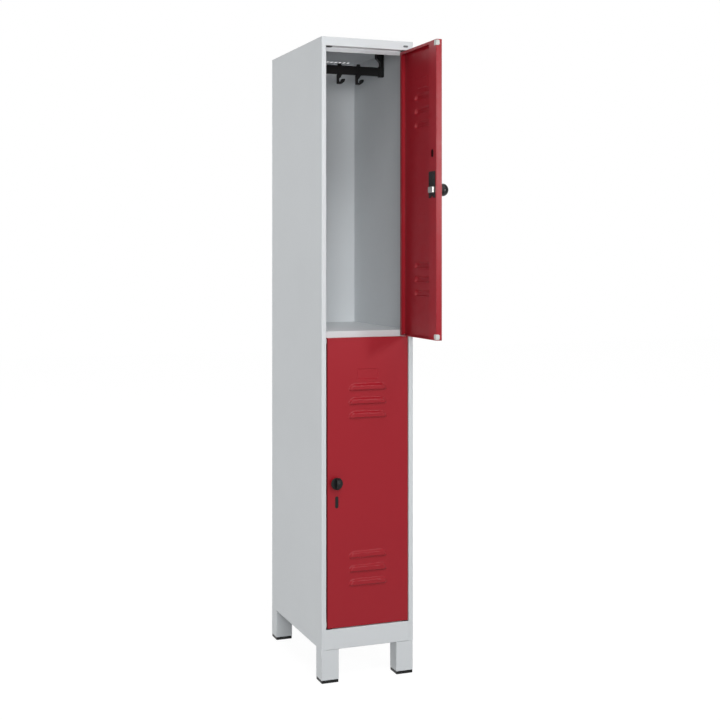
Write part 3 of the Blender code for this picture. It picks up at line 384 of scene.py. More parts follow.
def louvre_lift(x, z):
    """How far a louvre stands out at a place across the door and a height over the louvre's lip.

    The lip rolls in, and the end on the hinge side is gentler.
    """
    along = abs(x - DOOR_W / 2) - (LOUVRE_W / 2 - LOUVRE_CORNER)
    over = z - (LOUVRE_R - LOUVRE_CORNER)
    inside = LOUVRE_CORNER - math.hypot(max(0.0, along), max(0.0, over)) - min(0.0, max(along, over))
    roll = 1.0 - min(1.0, max(0.0, z) / LOUVRE_ROLL)
    fall = LOUVRE_FALL * (1.0 - math.sqrt(1.0 - roll * roll))
    fade = LOUVRE_FADE * max(0.0, along) / LOUVRE_CORNER if x > DOOR_W / 2 else 0.0
    return (LOUVRE_H - fall) * even_rise(inside / (LOUVRE_BAND * (1.0 + fade)))


def label_sink(x, z):
    """How deep the label recess lies at a place."""
    inside = min(LABEL_W / 2 - abs(x - DOOR_W / 2), LABEL_TALL / 2 - abs(z - LABEL_Z))
    return LABEL_DEPTH * smooth_step(inside / LABEL_SLOPE + 0.5)


def spread(stops):
    """Values between stops given as (from, to, step)."""
    values = set()
    for low, high, step in stops:
        count = max(1, round((high - low) / step))
        values.update(round(low + (high - low) * i / count, 6) for i in range(count + 1))
    return sorted(values)


def door_lines(edge, tall):
    """Where the front skin's points lie across the door and up it."""
    mid = DOOR_W / 2
    end = LOUVRE_W / 2
    across = [
        (edge + EDGE_R, edge + EDGE_R + MARGIN, RIM_STEP),
        (mid - end - MARGIN, mid - end + LOUVRE_CORNER, SLOPE_STEP),
        (mid - end + LOUVRE_CORNER, mid + end - LOUVRE_CORNER, FLAT_STEP),
        (mid + end - LOUVRE_CORNER, mid + end + MARGIN, SLOPE_STEP),
        (DOOR_W - EDGE_R - MARGIN, DOOR_W - EDGE_R, RIM_STEP),
    ]
    upwards = [(EDGE_R, EDGE_R + MARGIN, RIM_STEP), (tall - EDGE_R - MARGIN, tall - EDGE_R, RIM_STEP)]
    for lip in LOUVRES:
        upwards.append((lip - UNDER_LIP, lip, UNDER_LIP))
        upwards.append((lip, lip + LOUVRE_ROLL, LIP_STEP))
        upwards.append((lip + LOUVRE_ROLL, lip + LOUVRE_R + MARGIN, SLOPE_STEP))
    for way in (-1, 1):
        x = mid + way * LABEL_W / 2
        z = LABEL_Z + way * LABEL_TALL / 2
        across.append((x - LABEL_STEP, x + LABEL_STEP, LABEL_STEP))
        upwards.append((z - LABEL_STEP, z + LABEL_STEP, LABEL_STEP))
    return spread(across), spread(upwards)


def door_front(bm, edge, tall):
    """Front skin: a sheet of quads with the louvres raised, slit along their lips, and the label sunk.

    Returns the points of its rim.
    """
    xs, zs = door_lines(edge, tall)
    lips = {round(z, 6) for z in LOUVRES}
    flat = {}
    raised = {}
    for i, x in enumerate(xs):
        for j, z in enumerate(zs):
            near = [lip for lip in LOUVRES if -FINE_MERGE < z - lip < LOUVRE_R + MARGIN]
            lift = sum(louvre_lift(x, z - lip) for lip in near)
            on_lip = z in lips
            flat[i, j] = bm.verts.new((x, label_sink(x, z) - (0.0 if on_lip else lift), z))
            if on_lip and lift > FINE_MERGE:
                drop = LOUVRE_DROP * min(1.0, lift / LOUVRE_H)
                raised[i, j] = bm.verts.new((x, -lift, z - drop))
    for i in range(len(xs) - 1):
        for j in range(len(zs) - 1):
            low = [raised.get(key, flat[key]) for key in ((i, j), (i + 1, j))]
            high = [flat[i + 1, j + 1], flat[i, j + 1]]
            bm.faces.new(low + high)
    last_i, last_j = len(xs) - 1, len(zs) - 1
    ring = [flat[i, 0] for i in range(last_i)]
    ring += [flat[last_i, j] for j in range(last_j)]
    ring += [flat[i, last_j] for i in range(last_i, 0, -1)]
    ring += [flat[0, j] for j in range(last_j, 0, -1)]
    return ring


def which_end(value, low, high):
    """Minus one at the low end, one at the high end and nought between them."""
    if abs(value - low) < MERGE:
        return -1
    return 1 if abs(value - high) < MERGE else 0


def door_rim(ring, edge, tall):
    """The front skin's rim as (vertex, x, z, way out in x, way out in z), with each corner in steps."""
    corner_steps = 4
    starts = {(-1, -1): 180, (1, -1): 270, (1, 1): 0, (-1, 1): 90}
    rim = []
    for vert in ring:
        x, _, z = vert.co
        at_x = which_end(x, edge + EDGE_R, DOOR_W - EDGE_R)
        at_z = which_end(z, EDGE_R, tall - EDGE_R)
        if at_x and at_z:
            for k in range(corner_steps + 1):
                turn = math.radians(starts[at_x, at_z] + 90.0 * k / corner_steps)
                rim.append((vert, x, z, math.cos(turn), math.sin(turn)))
        else:
            rim.append((vert, x, z, at_x, at_z))
    return rim


def door_sides(bm, rim, tall):
    """Rounded edge, side walls, rear returns and the lock return's lip, grown from the front skin's rim."""
    turns = [math.radians(15 * k) for k in range(1, 7)]
    profile = [(EDGE_R * math.sin(t), EDGE_R * (1 - math.cos(t))) for t in turns]
    profile.append((EDGE_R, DOOR_T - EDGE_R))
    profile += [(EDGE_R * math.cos(t), DOOR_T - EDGE_R * (1 - math.sin(t))) for t in turns]
    rows = [[vert for vert, *_ in rim]]
    for out, y in profile:
        rows.append([bm.verts.new((x + out * dx, y, z + out * dz)) for _, x, z, dx, dz in rim])
    inner = []
    for _, x, z, _, _ in rim:
        across = min(max(x, LOCK_RETURN), DOOR_W - HINGE_RETURN)
        up = min(max(z, BOTTOM_RETURN), tall - TOP_RETURN)
        inner.append(bm.verts.new((across, DOOR_T, up)))
    rows.append(inner)
    lip = [v for v in inner if abs(v.co.x - LOCK_RETURN) < MERGE and LIP_MARGIN < v.co.z < tall - LIP_MARGIN]
    deep = [bm.verts.new((v.co.x, LIP_Y, v.co.z)) for v in lip]
    for i in range(len(lip) - 1):
        bm.faces.new((lip[i], lip[i + 1], deep[i + 1], deep[i]))
    count = len(rim)
    for a, b in zip(rows, rows[1:]):
        for i in range(count):
            j = (i + 1) % count
            corners = list(dict.fromkeys((a[i], a[j], b[j], b[i])))
            if len(corners) > 2:
                bm.faces.new(corners)


def pierce_return(bm):
    """The hole of two rounds in the lock return, above the lock case."""
    middle = LOCK_Z + HOLE_UP
    strip = []
    for face in bm.faces:
        centre = face.calc_center_median()
        heights = [v.co.z for v in face.verts]
        on_return = abs(centre.y - DOOR_T) < MERGE and centre.x < LOCK_RETURN
        if on_return and min(heights) < middle < max(heights):
            strip.append(face)
    uses = {}
    for face in strip:
        for edge in face.edges:
            uses[edge] = uses.get(edge, 0) + 1
    rim = [edge for edge, count in uses.items() if count == 1]
    bmesh.ops.delete(bm, geom=strip, context="FACES_ONLY")
    lean = math.degrees(math.asin(HOLE_STEP / HOLE_R))
    outline = arc_points((HOLE_X, middle + HOLE_STEP), HOLE_R, -lean, 180 + lean, 24)[:-1]
    outline += arc_points((HOLE_X, middle - HOLE_STEP), HOLE_R, 180 - lean, 360 + lean, 24)[:-1]
    loop = [bm.verts.new((x, DOOR_T, z)) for x, z in outline]
    rim += [bm.edges.new((a, b)) for a, b in zip(loop, loop[1:] + loop[:1])]
    bmesh.ops.triangle_fill(bm, use_beauty=True, use_dissolve=False, edges=rim, normal=(0, 1, 0))


def build_door(side):
    """Door pan: front skin, sides, returns and hole as one skin, given its sheet thickness inwards."""
    bm = bmesh.new()
    edge, tall = DOOR_FIT[side]
    rim = door_rim(door_front(bm, edge, tall), edge, tall)
    door_sides(bm, rim, tall)
    bmesh.ops.remove_doubles(bm, verts=bm.verts, dist=MERGE)
    bm.normal_update()
    pierce_return(bm)
    bmesh.ops.remove_doubles(bm, verts=bm.verts, dist=MERGE)
    bmesh.ops.dissolve_degenerate(bm, edges=bm.edges, dist=FINE_MERGE)
    bmesh.ops.recalc_face_normals(bm, faces=bm.faces)
    skin = [f for f in bm.faces if abs(f.normal.y) > 0.9 and f.calc_center_median().y < SHEET]
    front = max(skin, key=lambda f: f.calc_area())
    if front.normal.y > 0:
        bmesh.ops.reverse_faces(bm, faces=bm.faces)
    bm = thicken(bm, SHEET)
    finish_piece(side + "_door_skin", bm, "door_red", side + "_door", [side + "_door_panel"],
                 on_door(side), sharp=40, merge=FINE_MERGE)


# Outlines and solids for the small parts


def inset(outline, amount):
    """An outline that runs anticlockwise, moved inwards."""
    least_spread = 0.3
    moved = []
    for i, (x, y) in enumerate(outline):
        before = Vector((x - outline[i - 1][0], y - outline[i - 1][1])).normalized()
        after = outline[(i + 1) % len(outline)]
        after = Vector((after[0] - x, after[1] - y)).normalized()
        miter = Vector((-before.y - after.y, before.x + after.x))
        miter /= max(least_spread, miter.length_squared / 2)
        moved.append((x + miter.x * amount, y + miter.y * amount))
    return moved


def rounded_outline(width, height, corner, steps=6):
    """A rectangle round the origin with round corners."""
    points = []
    for turn, (sx, sy) in enumerate(((1, 1), (-1, 1), (-1, -1), (1, -1))):
        centre = (sx * (width / 2 - corner), sy * (height / 2 - corner))
        points += arc_points(centre, corner, 90 * turn, 90 * turn + 90, steps)
    return points


def soften(corners, steps=5):
    """An outline from corners given as (x, y, radius), each rounded by its radius."""
    most_of_side = 0.49
    points = []
    for i, (x, y, radius) in enumerate(corners):
        here = Vector((x, y))
        back = Vector(corners[i - 1][:2]) - here
        ahead = Vector(corners[(i + 1) % len(corners)][:2]) - here
        if radius <= 0.0:
            points.append((x, y))
            continue
        half = back.angle(ahead) / 2
        reach = min(radius / math.tan(half), most_of_side * back.length, most_of_side * ahead.length)
        start = here + back.normalized() * reach
        end = here + ahead.normalized() * reach
        for k in range(steps + 1):
            t = k / steps
            points.append(tuple(start * (1 - t) ** 2 + here * (2 * t * (1 - t)) + end * t ** 2))
    return points


def close_ends(bm, rows):
    """Faces over the first and the last loop."""
    bm.faces.new(rows[0][::-1])
    bm.faces.new(rows[-1])


def pillow(bm, outline, low, high, radius, to_point, steps=4, low_radius=None):
    """A prism of an outline between two levels, with its two rims rounded over."""
    under = radius if low_radius is None else low_radius
    loops = []
    turns = [math.radians(90.0 * k / steps) for k in range(steps + 1)]
    if under > 0.0:
        loops += [(under * (1 - math.sin(t)), low + under * (1 - math.cos(t))) for t in turns]
    else:
        loops.append((0.0, low))
    if radius > 0.0:
        loops += [(radius * (1 - math.cos(t)), high - radius * (1 - math.sin(t))) for t in turns]
    else:
        loops.append((0.0, high))
    rows = [[to_point(u, v, level) for u, v in inset(outline, amount)] for amount, level in loops]
    close_ends(bm, grow_loops(bm, rows))


def lathe(bm, profile, steps, to_point):
    """Turns a profile of (radius, level) points round the axis and closes its ends."""
    turns = [2 * math.pi * k / steps for k in range(steps)]
    rows = []
    for radius, level in profile:
        rows.append([to_point(radius * math.cos(t), radius * math.sin(t), level) for t in turns])
    close_ends(bm, grow_loops(bm, rows))


def screw_head(bm, radius, height, to_point):
    """A low domed screw with a raised cross on it, in shares of its radius and height."""
    dome = [(1.0, 0.0), (1.0, 0.25), (0.93, 0.6), (0.75, 0.86), (0.45, 1.0)]
    lathe(bm, [(r * radius, h * height) for r, h in dome], 24, to_point)
    half = 0.16 * radius
    arm = 0.5 * radius
    cross = []
    for c, s in ((1, 0), (0, 1), (-1, 0), (0, -1)):
        cross += [(c * x - s * y, s * x + c * y) for x, y in ((half, half), (half, arm), (-half, arm))]
    pillow(bm, cross, 0.7 * height, 1.04 * height, 0.0, to_point)


# Small parts of the doors

# Knob: radius of the ball, its centre, the floor beside the web and the eye's centre off the door's face,
# the neck as (radius, level), the radius at which the floor's rings end, and the rounding of its rim
KNOB_R = 0.0184
KNOB_OUT = 0.0136
KNOB_FLOOR = 0.0144
KNOB_EYE = 0.0206
KNOB_NECK = [(0.0085, 0.0006), (0.0098, 0.0006)]
KNOB_MIDDLE_R = 0.008
KNOB_RIM = 0.0014

# Web across the knob: half its thickness, its rounding, where its foot lies, how far it stays inside the
# ball, the slope down to its sunk cheeks as (inset, depth) and the eye through it as (radius, depth)
WEB_HALF = 0.0052
WEB_ROUND = 0.0020
WEB_FOOT = (0.0135, 0.008)
WEB_UNDER_BALL = 0.0001
WEB_CHEEK = [(0.0042, 0.0), (0.0048, 0.0004), (0.0054, 0.0018)]
WEB_EYE = [(0.0056, 0.0020), (0.0046, 0.0020), (0.0040, 0.0026)]


def knob_ball(bm):
    """The lower part of the ball on its neck, cut off flat at the floor."""
    profile = list(KNOB_NECK)
    for degrees in range(-42, -3, 6):
        turn = math.radians(degrees)
        profile.append((KNOB_R * math.cos(turn), KNOB_OUT + KNOB_R * math.sin(turn)))
    for k in range(7):
        turn = math.radians(15 * k)
        radius = KNOB_R - KNOB_RIM * (1 - math.cos(turn))
        profile.append((radius, KNOB_FLOOR - KNOB_RIM * (1 - math.sin(turn))))
    profile.append((KNOB_MIDDLE_R, KNOB_FLOOR))
    lathe(bm, profile, 48, lambda u, v, level: (LOCK_X + u, -level, LOCK_Z + v))


def knob_web(bm):
    """The upright web with sunk cheeks and an eye for a padlock, as loops from rim to eye and back."""
    foot, level = WEB_FOOT
    bow = arc_points((0.0, KNOB_OUT), KNOB_R - WEB_UNDER_BALL, 0, 180, 32)
    outline = [(foot, level), *bow, (-foot, level)]
    rings = []
    for k in range(6):
        turn = math.radians(18 * k)
        rim = inset(outline, WEB_ROUND * (1 - math.cos(turn)))
        rings.append((rim, WEB_HALF - WEB_ROUND * (1 - math.sin(turn))))
    rings += [(inset(outline, amount), WEB_HALF - depth) for amount, depth in WEB_CHEEK]
    for radius, depth in WEB_EYE:
        circle = []
        for z, d in outline:
            way = Vector((z, d - KNOB_EYE)).normalized()
            circle.append((way.x * radius, KNOB_EYE + way.y * radius))
        rings.append((circle, WEB_HALF - depth))
    rings += [(points, -across) for points, across in reversed(rings)]
    rings.append(rings[0])
    grow_loops(bm, [[(LOCK_X + across, -d, LOCK_Z + z) for z, d in points] for points, across in rings])


def build_knob(side):
    """Ball knob: a round foot and a web across it."""
    bm = bmesh.new()
    knob_ball(bm)
    knob_web(bm)
    name = side + "_knob"
    finish_piece(name + "_body", bm, "black_plastic", name, [name], on_door(side), sharp=38)


# Slot insert: its middle on the door, its outline and its levels off the door's face
INSERT_X = 0.031
INSERT_DOWN = 0.0585
INSERT_OUTLINE = (0.0106, 0.0362, 0.0052)
INSERT_LEVELS = (-0.0022, 0.0006)
INSERT_ROUND = 0.0005


def build_insert(side):
    """Plain blanking insert under the knob, let into the door and a little proud of it."""
    bm = bmesh.new()
    middle = LOCK_Z - INSERT_DOWN
    pillow(bm, rounded_outline(*INSERT_OUTLINE), *INSERT_LEVELS, INSERT_ROUND,
           lambda u, v, level: (INSERT_X + u, -level, middle + v), low_radius=0.0)
    finish_piece(side + "_insert", bm, "black_plastic", side + "_door", [side + "_slot_insert"],
                 on_door(side))


# Corner buffers: height, radius of their ends and its share taken off, distance from the door's end, how far
# they sink into its edge, thickness round the edge and on the inner face, rounding, and where their points
# lie along the edge (in y) and along the face (from the edge)
BUFFER_TALL = 0.0155
BUFFER_CORNER = 0.004
BUFFER_TRIM = 0.9
BUFFER_INSET = 0.0025
BUFFER_SINK = 0.0003
BUFFER_EDGE_T = 0.0012
BUFFER_FACE_T = 0.0016
BUFFER_SOFT = 0.0005
BUFFER_CHAMFER = 0.3 * BUFFER_SOFT
BUFFER_ALONG_EDGE = (0.0080, 0.0082, 0.0088, 0.0096, 0.0106, 0.012, 0.0168)
BUFFER_ALONG_FACE = (0.002, 0.0065, 0.0090, 0.0103, 0.0114, 0.0123, 0.0128, 0.0130)


def buffer_path(edge):
    """The strip's way in plan as (point, way out, thickness): along the edge, round it and along the face."""
    wrap = edge - BUFFER_SINK
    path = [((wrap, y), (-1.0, 0.0), BUFFER_EDGE_T) for y in BUFFER_ALONG_EDGE]
    for k in range(7):
        turn = math.radians(15 * k)
        thick = BUFFER_EDGE_T + (BUFFER_FACE_T - BUFFER_EDGE_T) * smooth_step(k / 6)
        path.append(((wrap, DOOR_T), (-math.cos(turn), math.sin(turn)), thick))
    path += [((edge + x, DOOR_T), (0.0, 1.0), BUFFER_FACE_T) for x in BUFFER_ALONG_FACE]
    return path


def buffer_section(half, thick):
    """Section of the strip as (height, thickness) points, with soft outer corners."""
    soft = [(0.0, BUFFER_SOFT), (BUFFER_CHAMFER, BUFFER_CHAMFER), (BUFFER_SOFT, 0.0)]
    ring = [(-half, 0.0)]
    ring += [(-half + a, thick - b) for a, b in soft]
    ring += [(half - a, thick - b) for a, b in reversed(soft)]
    ring.append((half, 0.0))
    return ring


def build_buffers(side):
    """White corner buffers: a soft strip bent round the free edge onto the inner face."""
    edge, height = DOOR_FIT[side]
    path = buffer_path(edge)
    lengths = [0.0]
    for (a, _, _), (b, _, _) in zip(path, path[1:]):
        lengths.append(lengths[-1] + math.hypot(b[0] - a[0], b[1] - a[1]))
    middles = {"bottom": BUFFER_INSET + BUFFER_TALL / 2, "top": height - BUFFER_INSET - BUFFER_TALL / 2}
    for name, middle in middles.items():
        bm = bmesh.new()
        rows = []
        for (point, way, thick), along in zip(path, lengths):
            to_end = min(along, lengths[-1] - along)
            short = max(0.0, BUFFER_CORNER - to_end)
            trim = BUFFER_CORNER - math.sqrt(max(0.0, BUFFER_CORNER ** 2 - short ** 2))
            section = buffer_section(BUFFER_TALL / 2 - BUFFER_TRIM * trim, thick)
            rows.append([(point[0] + way[0] * t, point[1] + way[1] * t, middle + z) for z, t in section])
        close_ends(bm, grow_loops(bm, rows))
        finish_piece("%s_%s_buffer" % (side, name), bm, "white_plastic", side + "_door",
                     ["%s_door_%s_buffer" % (side, name)], on_door(side), sharp=50)


# Lock case: its sides on the door, its ends from the knob's axis, its levels behind the door's face, the
# notch in its foot, the window that the bolt lies in, the places of its screws, their (radius, height) and
# seat, and a black block behind the hole of the return, which is painted shade that makes the hole look dark
CASE_LEFT = 0.0065
CASE_RIGHT = 0.0499
CASE_MIDDLE = 0.0282
CASE_FOOT = -0.024
CASE_TOP = 0.054
CASE_BACK = 0.0120
CASE_FACE = 0.0200
CASE_ROUND = 0.0007
FOOT_CORNER = 0.001
TOP_CORNER = 0.003
NOTCH_HALF = 0.010
NOTCH_TOP = -0.015
WINDOW_HALF = 0.0092
WINDOW_FLOOR_HALF = 0.0094
WINDOW_FLOOR = 0.0188
CASE_SCREWS = ((0.0135, 0.046), (0.0430, 0.018))
CASE_SCREW = (0.0030, 0.0014)
CASE_SCREW_SEAT = 0.0199
SHADE_BLOCK_X = 0.0345
SHADE_BLOCK_OUTLINE = (0.028, 0.036, 0.004)
SHADE_BLOCK_LEVELS = (0.0090, 0.0125)
SHADE_BLOCK_ROUND = 0.0005

# Latch bolt: its ends and half its height, corner radius, levels and rounding over and under
BOLT_LEFT = 0.0114
BOLT_RIGHT = 0.0444
BOLT_HALF = 0.00875
BOLT_CORNER = 0.0018
BOLT_LEVELS = (0.0193, 0.0248)
BOLT_ROUND = 0.0011
BOLT_UNDER = 0.0004


def at_lock(u, v, level):
    """A door point from its x, its height over the knob's axis and its level behind the face."""
    return (u, level, LOCK_Z + v)


def build_lock(side):
    """Lock case let into the return, with its forked foot and screws, and a black block behind the hole as
    painted shade.
    """
    bm = bmesh.new()
    fork = soften([(CASE_LEFT, CASE_FOOT, FOOT_CORNER), (CASE_MIDDLE - NOTCH_HALF, CASE_FOOT, FOOT_CORNER),
                   (CASE_MIDDLE, NOTCH_TOP, FOOT_CORNER), (CASE_MIDDLE + NOTCH_HALF, CASE_FOOT, FOOT_CORNER),
                   (CASE_RIGHT, CASE_FOOT, FOOT_CORNER), (CASE_RIGHT, -WINDOW_HALF, 0.0),
                   (CASE_LEFT, -WINDOW_HALF, 0.0)])
    head = soften([(CASE_LEFT, WINDOW_HALF, 0.0), (CASE_RIGHT, WINDOW_HALF, 0.0),
                   (CASE_RIGHT, CASE_TOP, TOP_CORNER), (CASE_LEFT, CASE_TOP, TOP_CORNER)])
    for outline in (fork, head):
        pillow(bm, outline, CASE_BACK, CASE_FACE, CASE_ROUND, at_lock, low_radius=0.0)
    floor = [(CASE_LEFT, -WINDOW_FLOOR_HALF), (CASE_RIGHT, -WINDOW_FLOOR_HALF),
             (CASE_RIGHT, WINDOW_FLOOR_HALF), (CASE_LEFT, WINDOW_FLOOR_HALF)]
    pillow(bm, floor, CASE_BACK, WINDOW_FLOOR, 0.0, at_lock)
    # Painted shade: a black block behind the hole of the return, set there so that the hole looks dark
    pillow(bm, rounded_outline(*SHADE_BLOCK_OUTLINE), *SHADE_BLOCK_LEVELS, SHADE_BLOCK_ROUND,
           lambda u, v, level: at_lock(SHADE_BLOCK_X + u, HOLE_UP + v, level))
    for u, v in CASE_SCREWS:
        screw_head(bm, *CASE_SCREW,
                   lambda a, b, c, u=u, v=v: at_lock(u + a, v + b, CASE_SCREW_SEAT + c))
    finish_piece(side + "_lock_cover", bm, "black_plastic", side + "_door", [side + "_lock_case"],
                 on_door(side))


def build_bolt(side):
    """Latch bolt: a plated slab with soft corners, which slides in the window of the case."""
    bm = bmesh.new()
    nose = soften([(BOLT_LEFT, -BOLT_HALF, BOLT_CORNER), (BOLT_RIGHT, -BOLT_HALF, BOLT_CORNER),
                   (BOLT_RIGHT, BOLT_HALF, BOLT_CORNER), (BOLT_LEFT, BOLT_HALF, BOLT_CORNER)], 4)
    pillow(bm, nose, *BOLT_LEVELS, BOLT_ROUND, at_lock, 3, BOLT_UNDER)
    finish_piece(side + "_bolt", bm, "zinc_steel", side + "_bolt", [side + "_latch_bolt"], on_door(side))


# Hinges: bore of the bushes, their profiles as (radius, height from their end), how far the lower door's top
# bush reaches down, the pins' profile as (radius, distance from either end) and the heights of their ends
BUSH_BORE = 0.0032
TOP_BUSH = [(0.0048, -0.0025), (0.0048, -0.0003), (0.0058, -0.0003), (0.0058, 0.0018), (0.0054, 0.0023)]
BUSH = [(0.0046, 0.0001), (0.0050, 0.0004), (0.0050, 0.0032), (0.0046, 0.0036)]
BUSH_DOWN = 0.0038
BUSHES = (("upper", "bottom", DOOR_Z["upper"]), ("lower", "top", DOOR_Z["lower"] + DOOR_H - BUSH_DOWN),
          ("lower", "bottom", DOOR_Z["lower"]))
PIN = [(0.0012, 0.0), (0.0024, 0.0004), (0.0029, 0.0012)]
PINS = (("top", 1.9152, 1.9308), ("middle", 1.0365, 1.0475), ("bottom", 0.1532, 0.1682))


def on_axis(u, v, z):
    """A cabinet point from its distances to the hinge axis and its height."""
    return (PIVOT[0] + u, PIVOT[1] + v, z)


def build_bush(side, end, profile, start):
    """Black bush turned round the hinge axis; its bore takes the pin."""
    steps = 32
    bm = bmesh.new()
    turns = [2 * math.pi * k / steps for k in range(steps)]
    loops = [(radius, start + rise) for radius, rise in profile]
    loops += [(BUSH_BORE, loops[-1][1]), (BUSH_BORE, loops[0][1])]
    rows = [[on_axis(radius * math.cos(t), radius * math.sin(t), z) for t in turns] for radius, z in loops]
    grow_loops(bm, rows + rows[:1])
    finish_piece("%s_%s_collar" % (side, end), bm, "black_plastic", side + "_door",
                 ["%s_door_%s_bush" % (side, end)])


def build_hinges():
    """Bushes let into the ends of the doors, and the pins that they turn on."""
    build_bush("upper", "top", TOP_BUSH, DOOR_Z["upper"] + DOOR_FIT["upper"][1])
    for side, end, start in BUSHES:
        build_bush(side, end, BUSH, start)
    for name, low, high in PINS:
        bm = bmesh.new()
        profile = [(radius, low + rise) for radius, rise in PIN]
        profile += [(radius, high - rise) for radius, rise in reversed(PIN)]
        lathe(bm, profile, 24, on_axis)
        finish_piece(name + "_pin", bm, "zinc_steel", "cabinet", [name + "_hinge_pin"])


# Rails, brackets and hooks

# Coat rails: their middle, the ceilings over them, their section and their distance to the sides
RAIL_Y = 0.240
RAIL_Z = {"upper": 1.889, "lower": 0.9985}
CEILING = {"upper": 1.949, "lower": 1.0585}
CEILING_GAP = 0.0003
RAIL_TALL = 0.029
RAIL_THICK = 0.0124
RAIL_CORNER = 0.0045
RAIL_GAP = 0.0046

# Brackets: distance from the wall, reach of the stem and of the head, how far the head and the curve to the
# stem reach down, the radii there, half their width and their rounding, the sleeve, and their two screws
BRACKET_GAP = 0.0013
STEM = 0.0112
HEAD = 0.0255
HEAD_TALL = 0.0155
STEM_TOP = 0.030
STEM_CURVE = 0.012
HEAD_CURVE = 0.005
HEAD_CORNER = 0.002
BRACKET_HALF = 0.009
BRACKET_ROUND = 0.0012
SLEEVE_OUTLINE = (0.0185, 0.0350, 0.0065)
SLEEVE_LONG = 0.0160
BRACKET_SCREW = (0.0026, 0.0012)
BRACKET_SCREW_DOWN = 0.0350
BRACKET_SCREW_APART = 0.0033


def build_bracket(side, end, wall, way):
    """Bracket: a stem under the ceiling with a head curved out of it, and a sleeve that takes the rail."""
    bm = bmesh.new()
    top = CEILING[side] - CEILING_GAP
    foot = RAIL_Z[side] - top
    outline = soften([(0.0, 0.0, 0.0), (0.0, foot, 0.0), (STEM, foot, 0.0), (STEM, -STEM_TOP, STEM_CURVE),
                      (HEAD, -HEAD_TALL, HEAD_CURVE), (HEAD, 0.0, HEAD_CORNER)], 8)
    pillow(bm, outline, -BRACKET_HALF, BRACKET_HALF, BRACKET_ROUND,
           lambda u, v, y: (wall + way * u, RAIL_Y - way * y, top + v))
    pillow(bm, rounded_outline(*SLEEVE_OUTLINE), 0.0, SLEEVE_LONG, BRACKET_ROUND,
           lambda u, v, x: (wall + way * x, RAIL_Y + way * u, RAIL_Z[side] + v), low_radius=0.0)
    for lift in (-BRACKET_SCREW_APART, BRACKET_SCREW_APART):
        screw_head(bm, *BRACKET_SCREW, lambda a, b, c, lift=lift: (
            wall + way * (STEM + c), RAIL_Y + a, top - BRACKET_SCREW_DOWN + b + lift))
    finish_piece("%s_%s_bracket" % (side, end), bm, "black_plastic", "cabinet",
                 ["%s_%s_rail_bracket" % (side, end)])


def build_rail(side):
    """Flat coat rail between two brackets."""
    bm = bmesh.new()
    pillow(bm, rounded_outline(RAIL_THICK, RAIL_TALL, RAIL_CORNER), RAIL_GAP, WIDTH - RAIL_GAP, 0.0,
           lambda u, v, x: (x, RAIL_Y + u, RAIL_Z[side] + v))
    finish_piece(side + "_rail", bm, "black_plastic", "cabinet", [side + "_coat_rail"])
    build_bracket(side, "left", BRACKET_GAP, 1)
    build_bracket(side, "right", WIDTH - BRACKET_GAP, -1)


# Hooks: where they stand along the rail, their sleeve as (distance off the rail, place along it), and their J
# and tab as (x, z, corner radius) from the rail's middle, with half the thickness and the rounding of each
HOOKS = {1: 0.147, 2: 0.212}
HOOK_SLEEVE = [(0.0004, -0.0062), (0.0014, -0.0062), (0.0018, -0.0058), (0.0018, 0.0058),
               (0.0014, 0.0062), (0.0004, 0.0062), (0.0004, -0.0062)]
HOOK_J = [(-0.0090, -0.0152, 0.0), (-0.0088, -0.0452, 0.0022), (0.0045, -0.0458, 0.0065),
          (0.0148, -0.0385, 0.0040), (0.0184, -0.0312, 0.0018), (0.0165, -0.0276, 0.0018),
          (0.0072, -0.0288, 0.0030), (0.0042, -0.0328, 0.0025), (0.0040, -0.0384, 0.0020),
          (-0.0021, -0.0386, 0.0020), (-0.0023, -0.0285, 0.0025), (0.0032, -0.0240, 0.0020),
          (0.0042, -0.0200, 0.0040), (0.0085, -0.0152, 0.0)]
HOOK_HALF = 0.0052
HOOK_ROUND = 0.0012
HOOK_TAB = [(-0.0056, 0.0146, 0.0), (0.0056, 0.0146, 0.0),
            (0.0052, 0.0212, 0.0016), (-0.0052, 0.0212, 0.0016)]
TAB_HALF = 0.0034
TAB_ROUND = 0.0010


def build_hook(side, number, x):
    """Moulded hook: a sleeve round the rail, a tab over it and a flat J with a narrow throat under it."""
    bm = bmesh.new()
    z = RAIL_Z[side]
    rings = []
    for out, along in HOOK_SLEEVE:
        size = rounded_outline(RAIL_THICK + 2 * out, RAIL_TALL + 2 * out, RAIL_CORNER + out)
        rings.append([(x + along, RAIL_Y + u, z + v) for u, v in size])
    grow_loops(bm, rings)
    for shape, half, rounding in ((HOOK_J, HOOK_HALF, HOOK_ROUND), (HOOK_TAB, TAB_HALF, TAB_ROUND)):
        pillow(bm, soften(shape), -half, half, rounding, lambda u, v, y: (x + u, RAIL_Y - y, z + v))
    name = "%s_hook_%d" % (side, number)
    finish_piece(name + "_body", bm, "black_plastic", name, [name])


# Cabinet sheets and feet

# Side panels: inner radius of the folds and the steps round each, width of the stile, depth of its return,
# its edge where it has no return, the heights of panel and return, and the short step where the return ends
FOLD_R = 0.0008
FOLD_STEPS = 6
STILE = 0.015
STILE_RETURN = 0.0183
STILE_EDGE = 0.0152
SIDE_FOOT = 0.1000
SIDE_TOP = 1.9487
RETURN_FOOT = 0.1610
RETURN_TOP = 1.9230
RETURN_STEP = 0.0001

# Rounding of the sheets' edges and of the blocks', and how much thicker the hinge tab is than its solid
SHEET_ROUND = 0.0004
BLOCK_ROUND = 0.0008
TAB_THICKER = 1.7

# Feet: their middles, then outline (width, depth, corner radius, steps), levels and rounding of tube and cap
FEET = {"front_left": (0.0275, 0.025), "front_right": (0.2715, 0.025),
        "rear_left": (0.0275, 0.475), "rear_right": (0.2725, 0.475)}
TUBE_OUTLINE = (0.0552, 0.0506, 0.0014, 8)
TUBE_LEVELS = (0.0100, 0.0998)
TUBE_ROUND = 0.0003
CAP_OUTLINE = (0.0540, 0.0494, 0.0018, 8)
CAP_LEVELS = (0.0, 0.0102)
CAP_ROUND = 0.0016


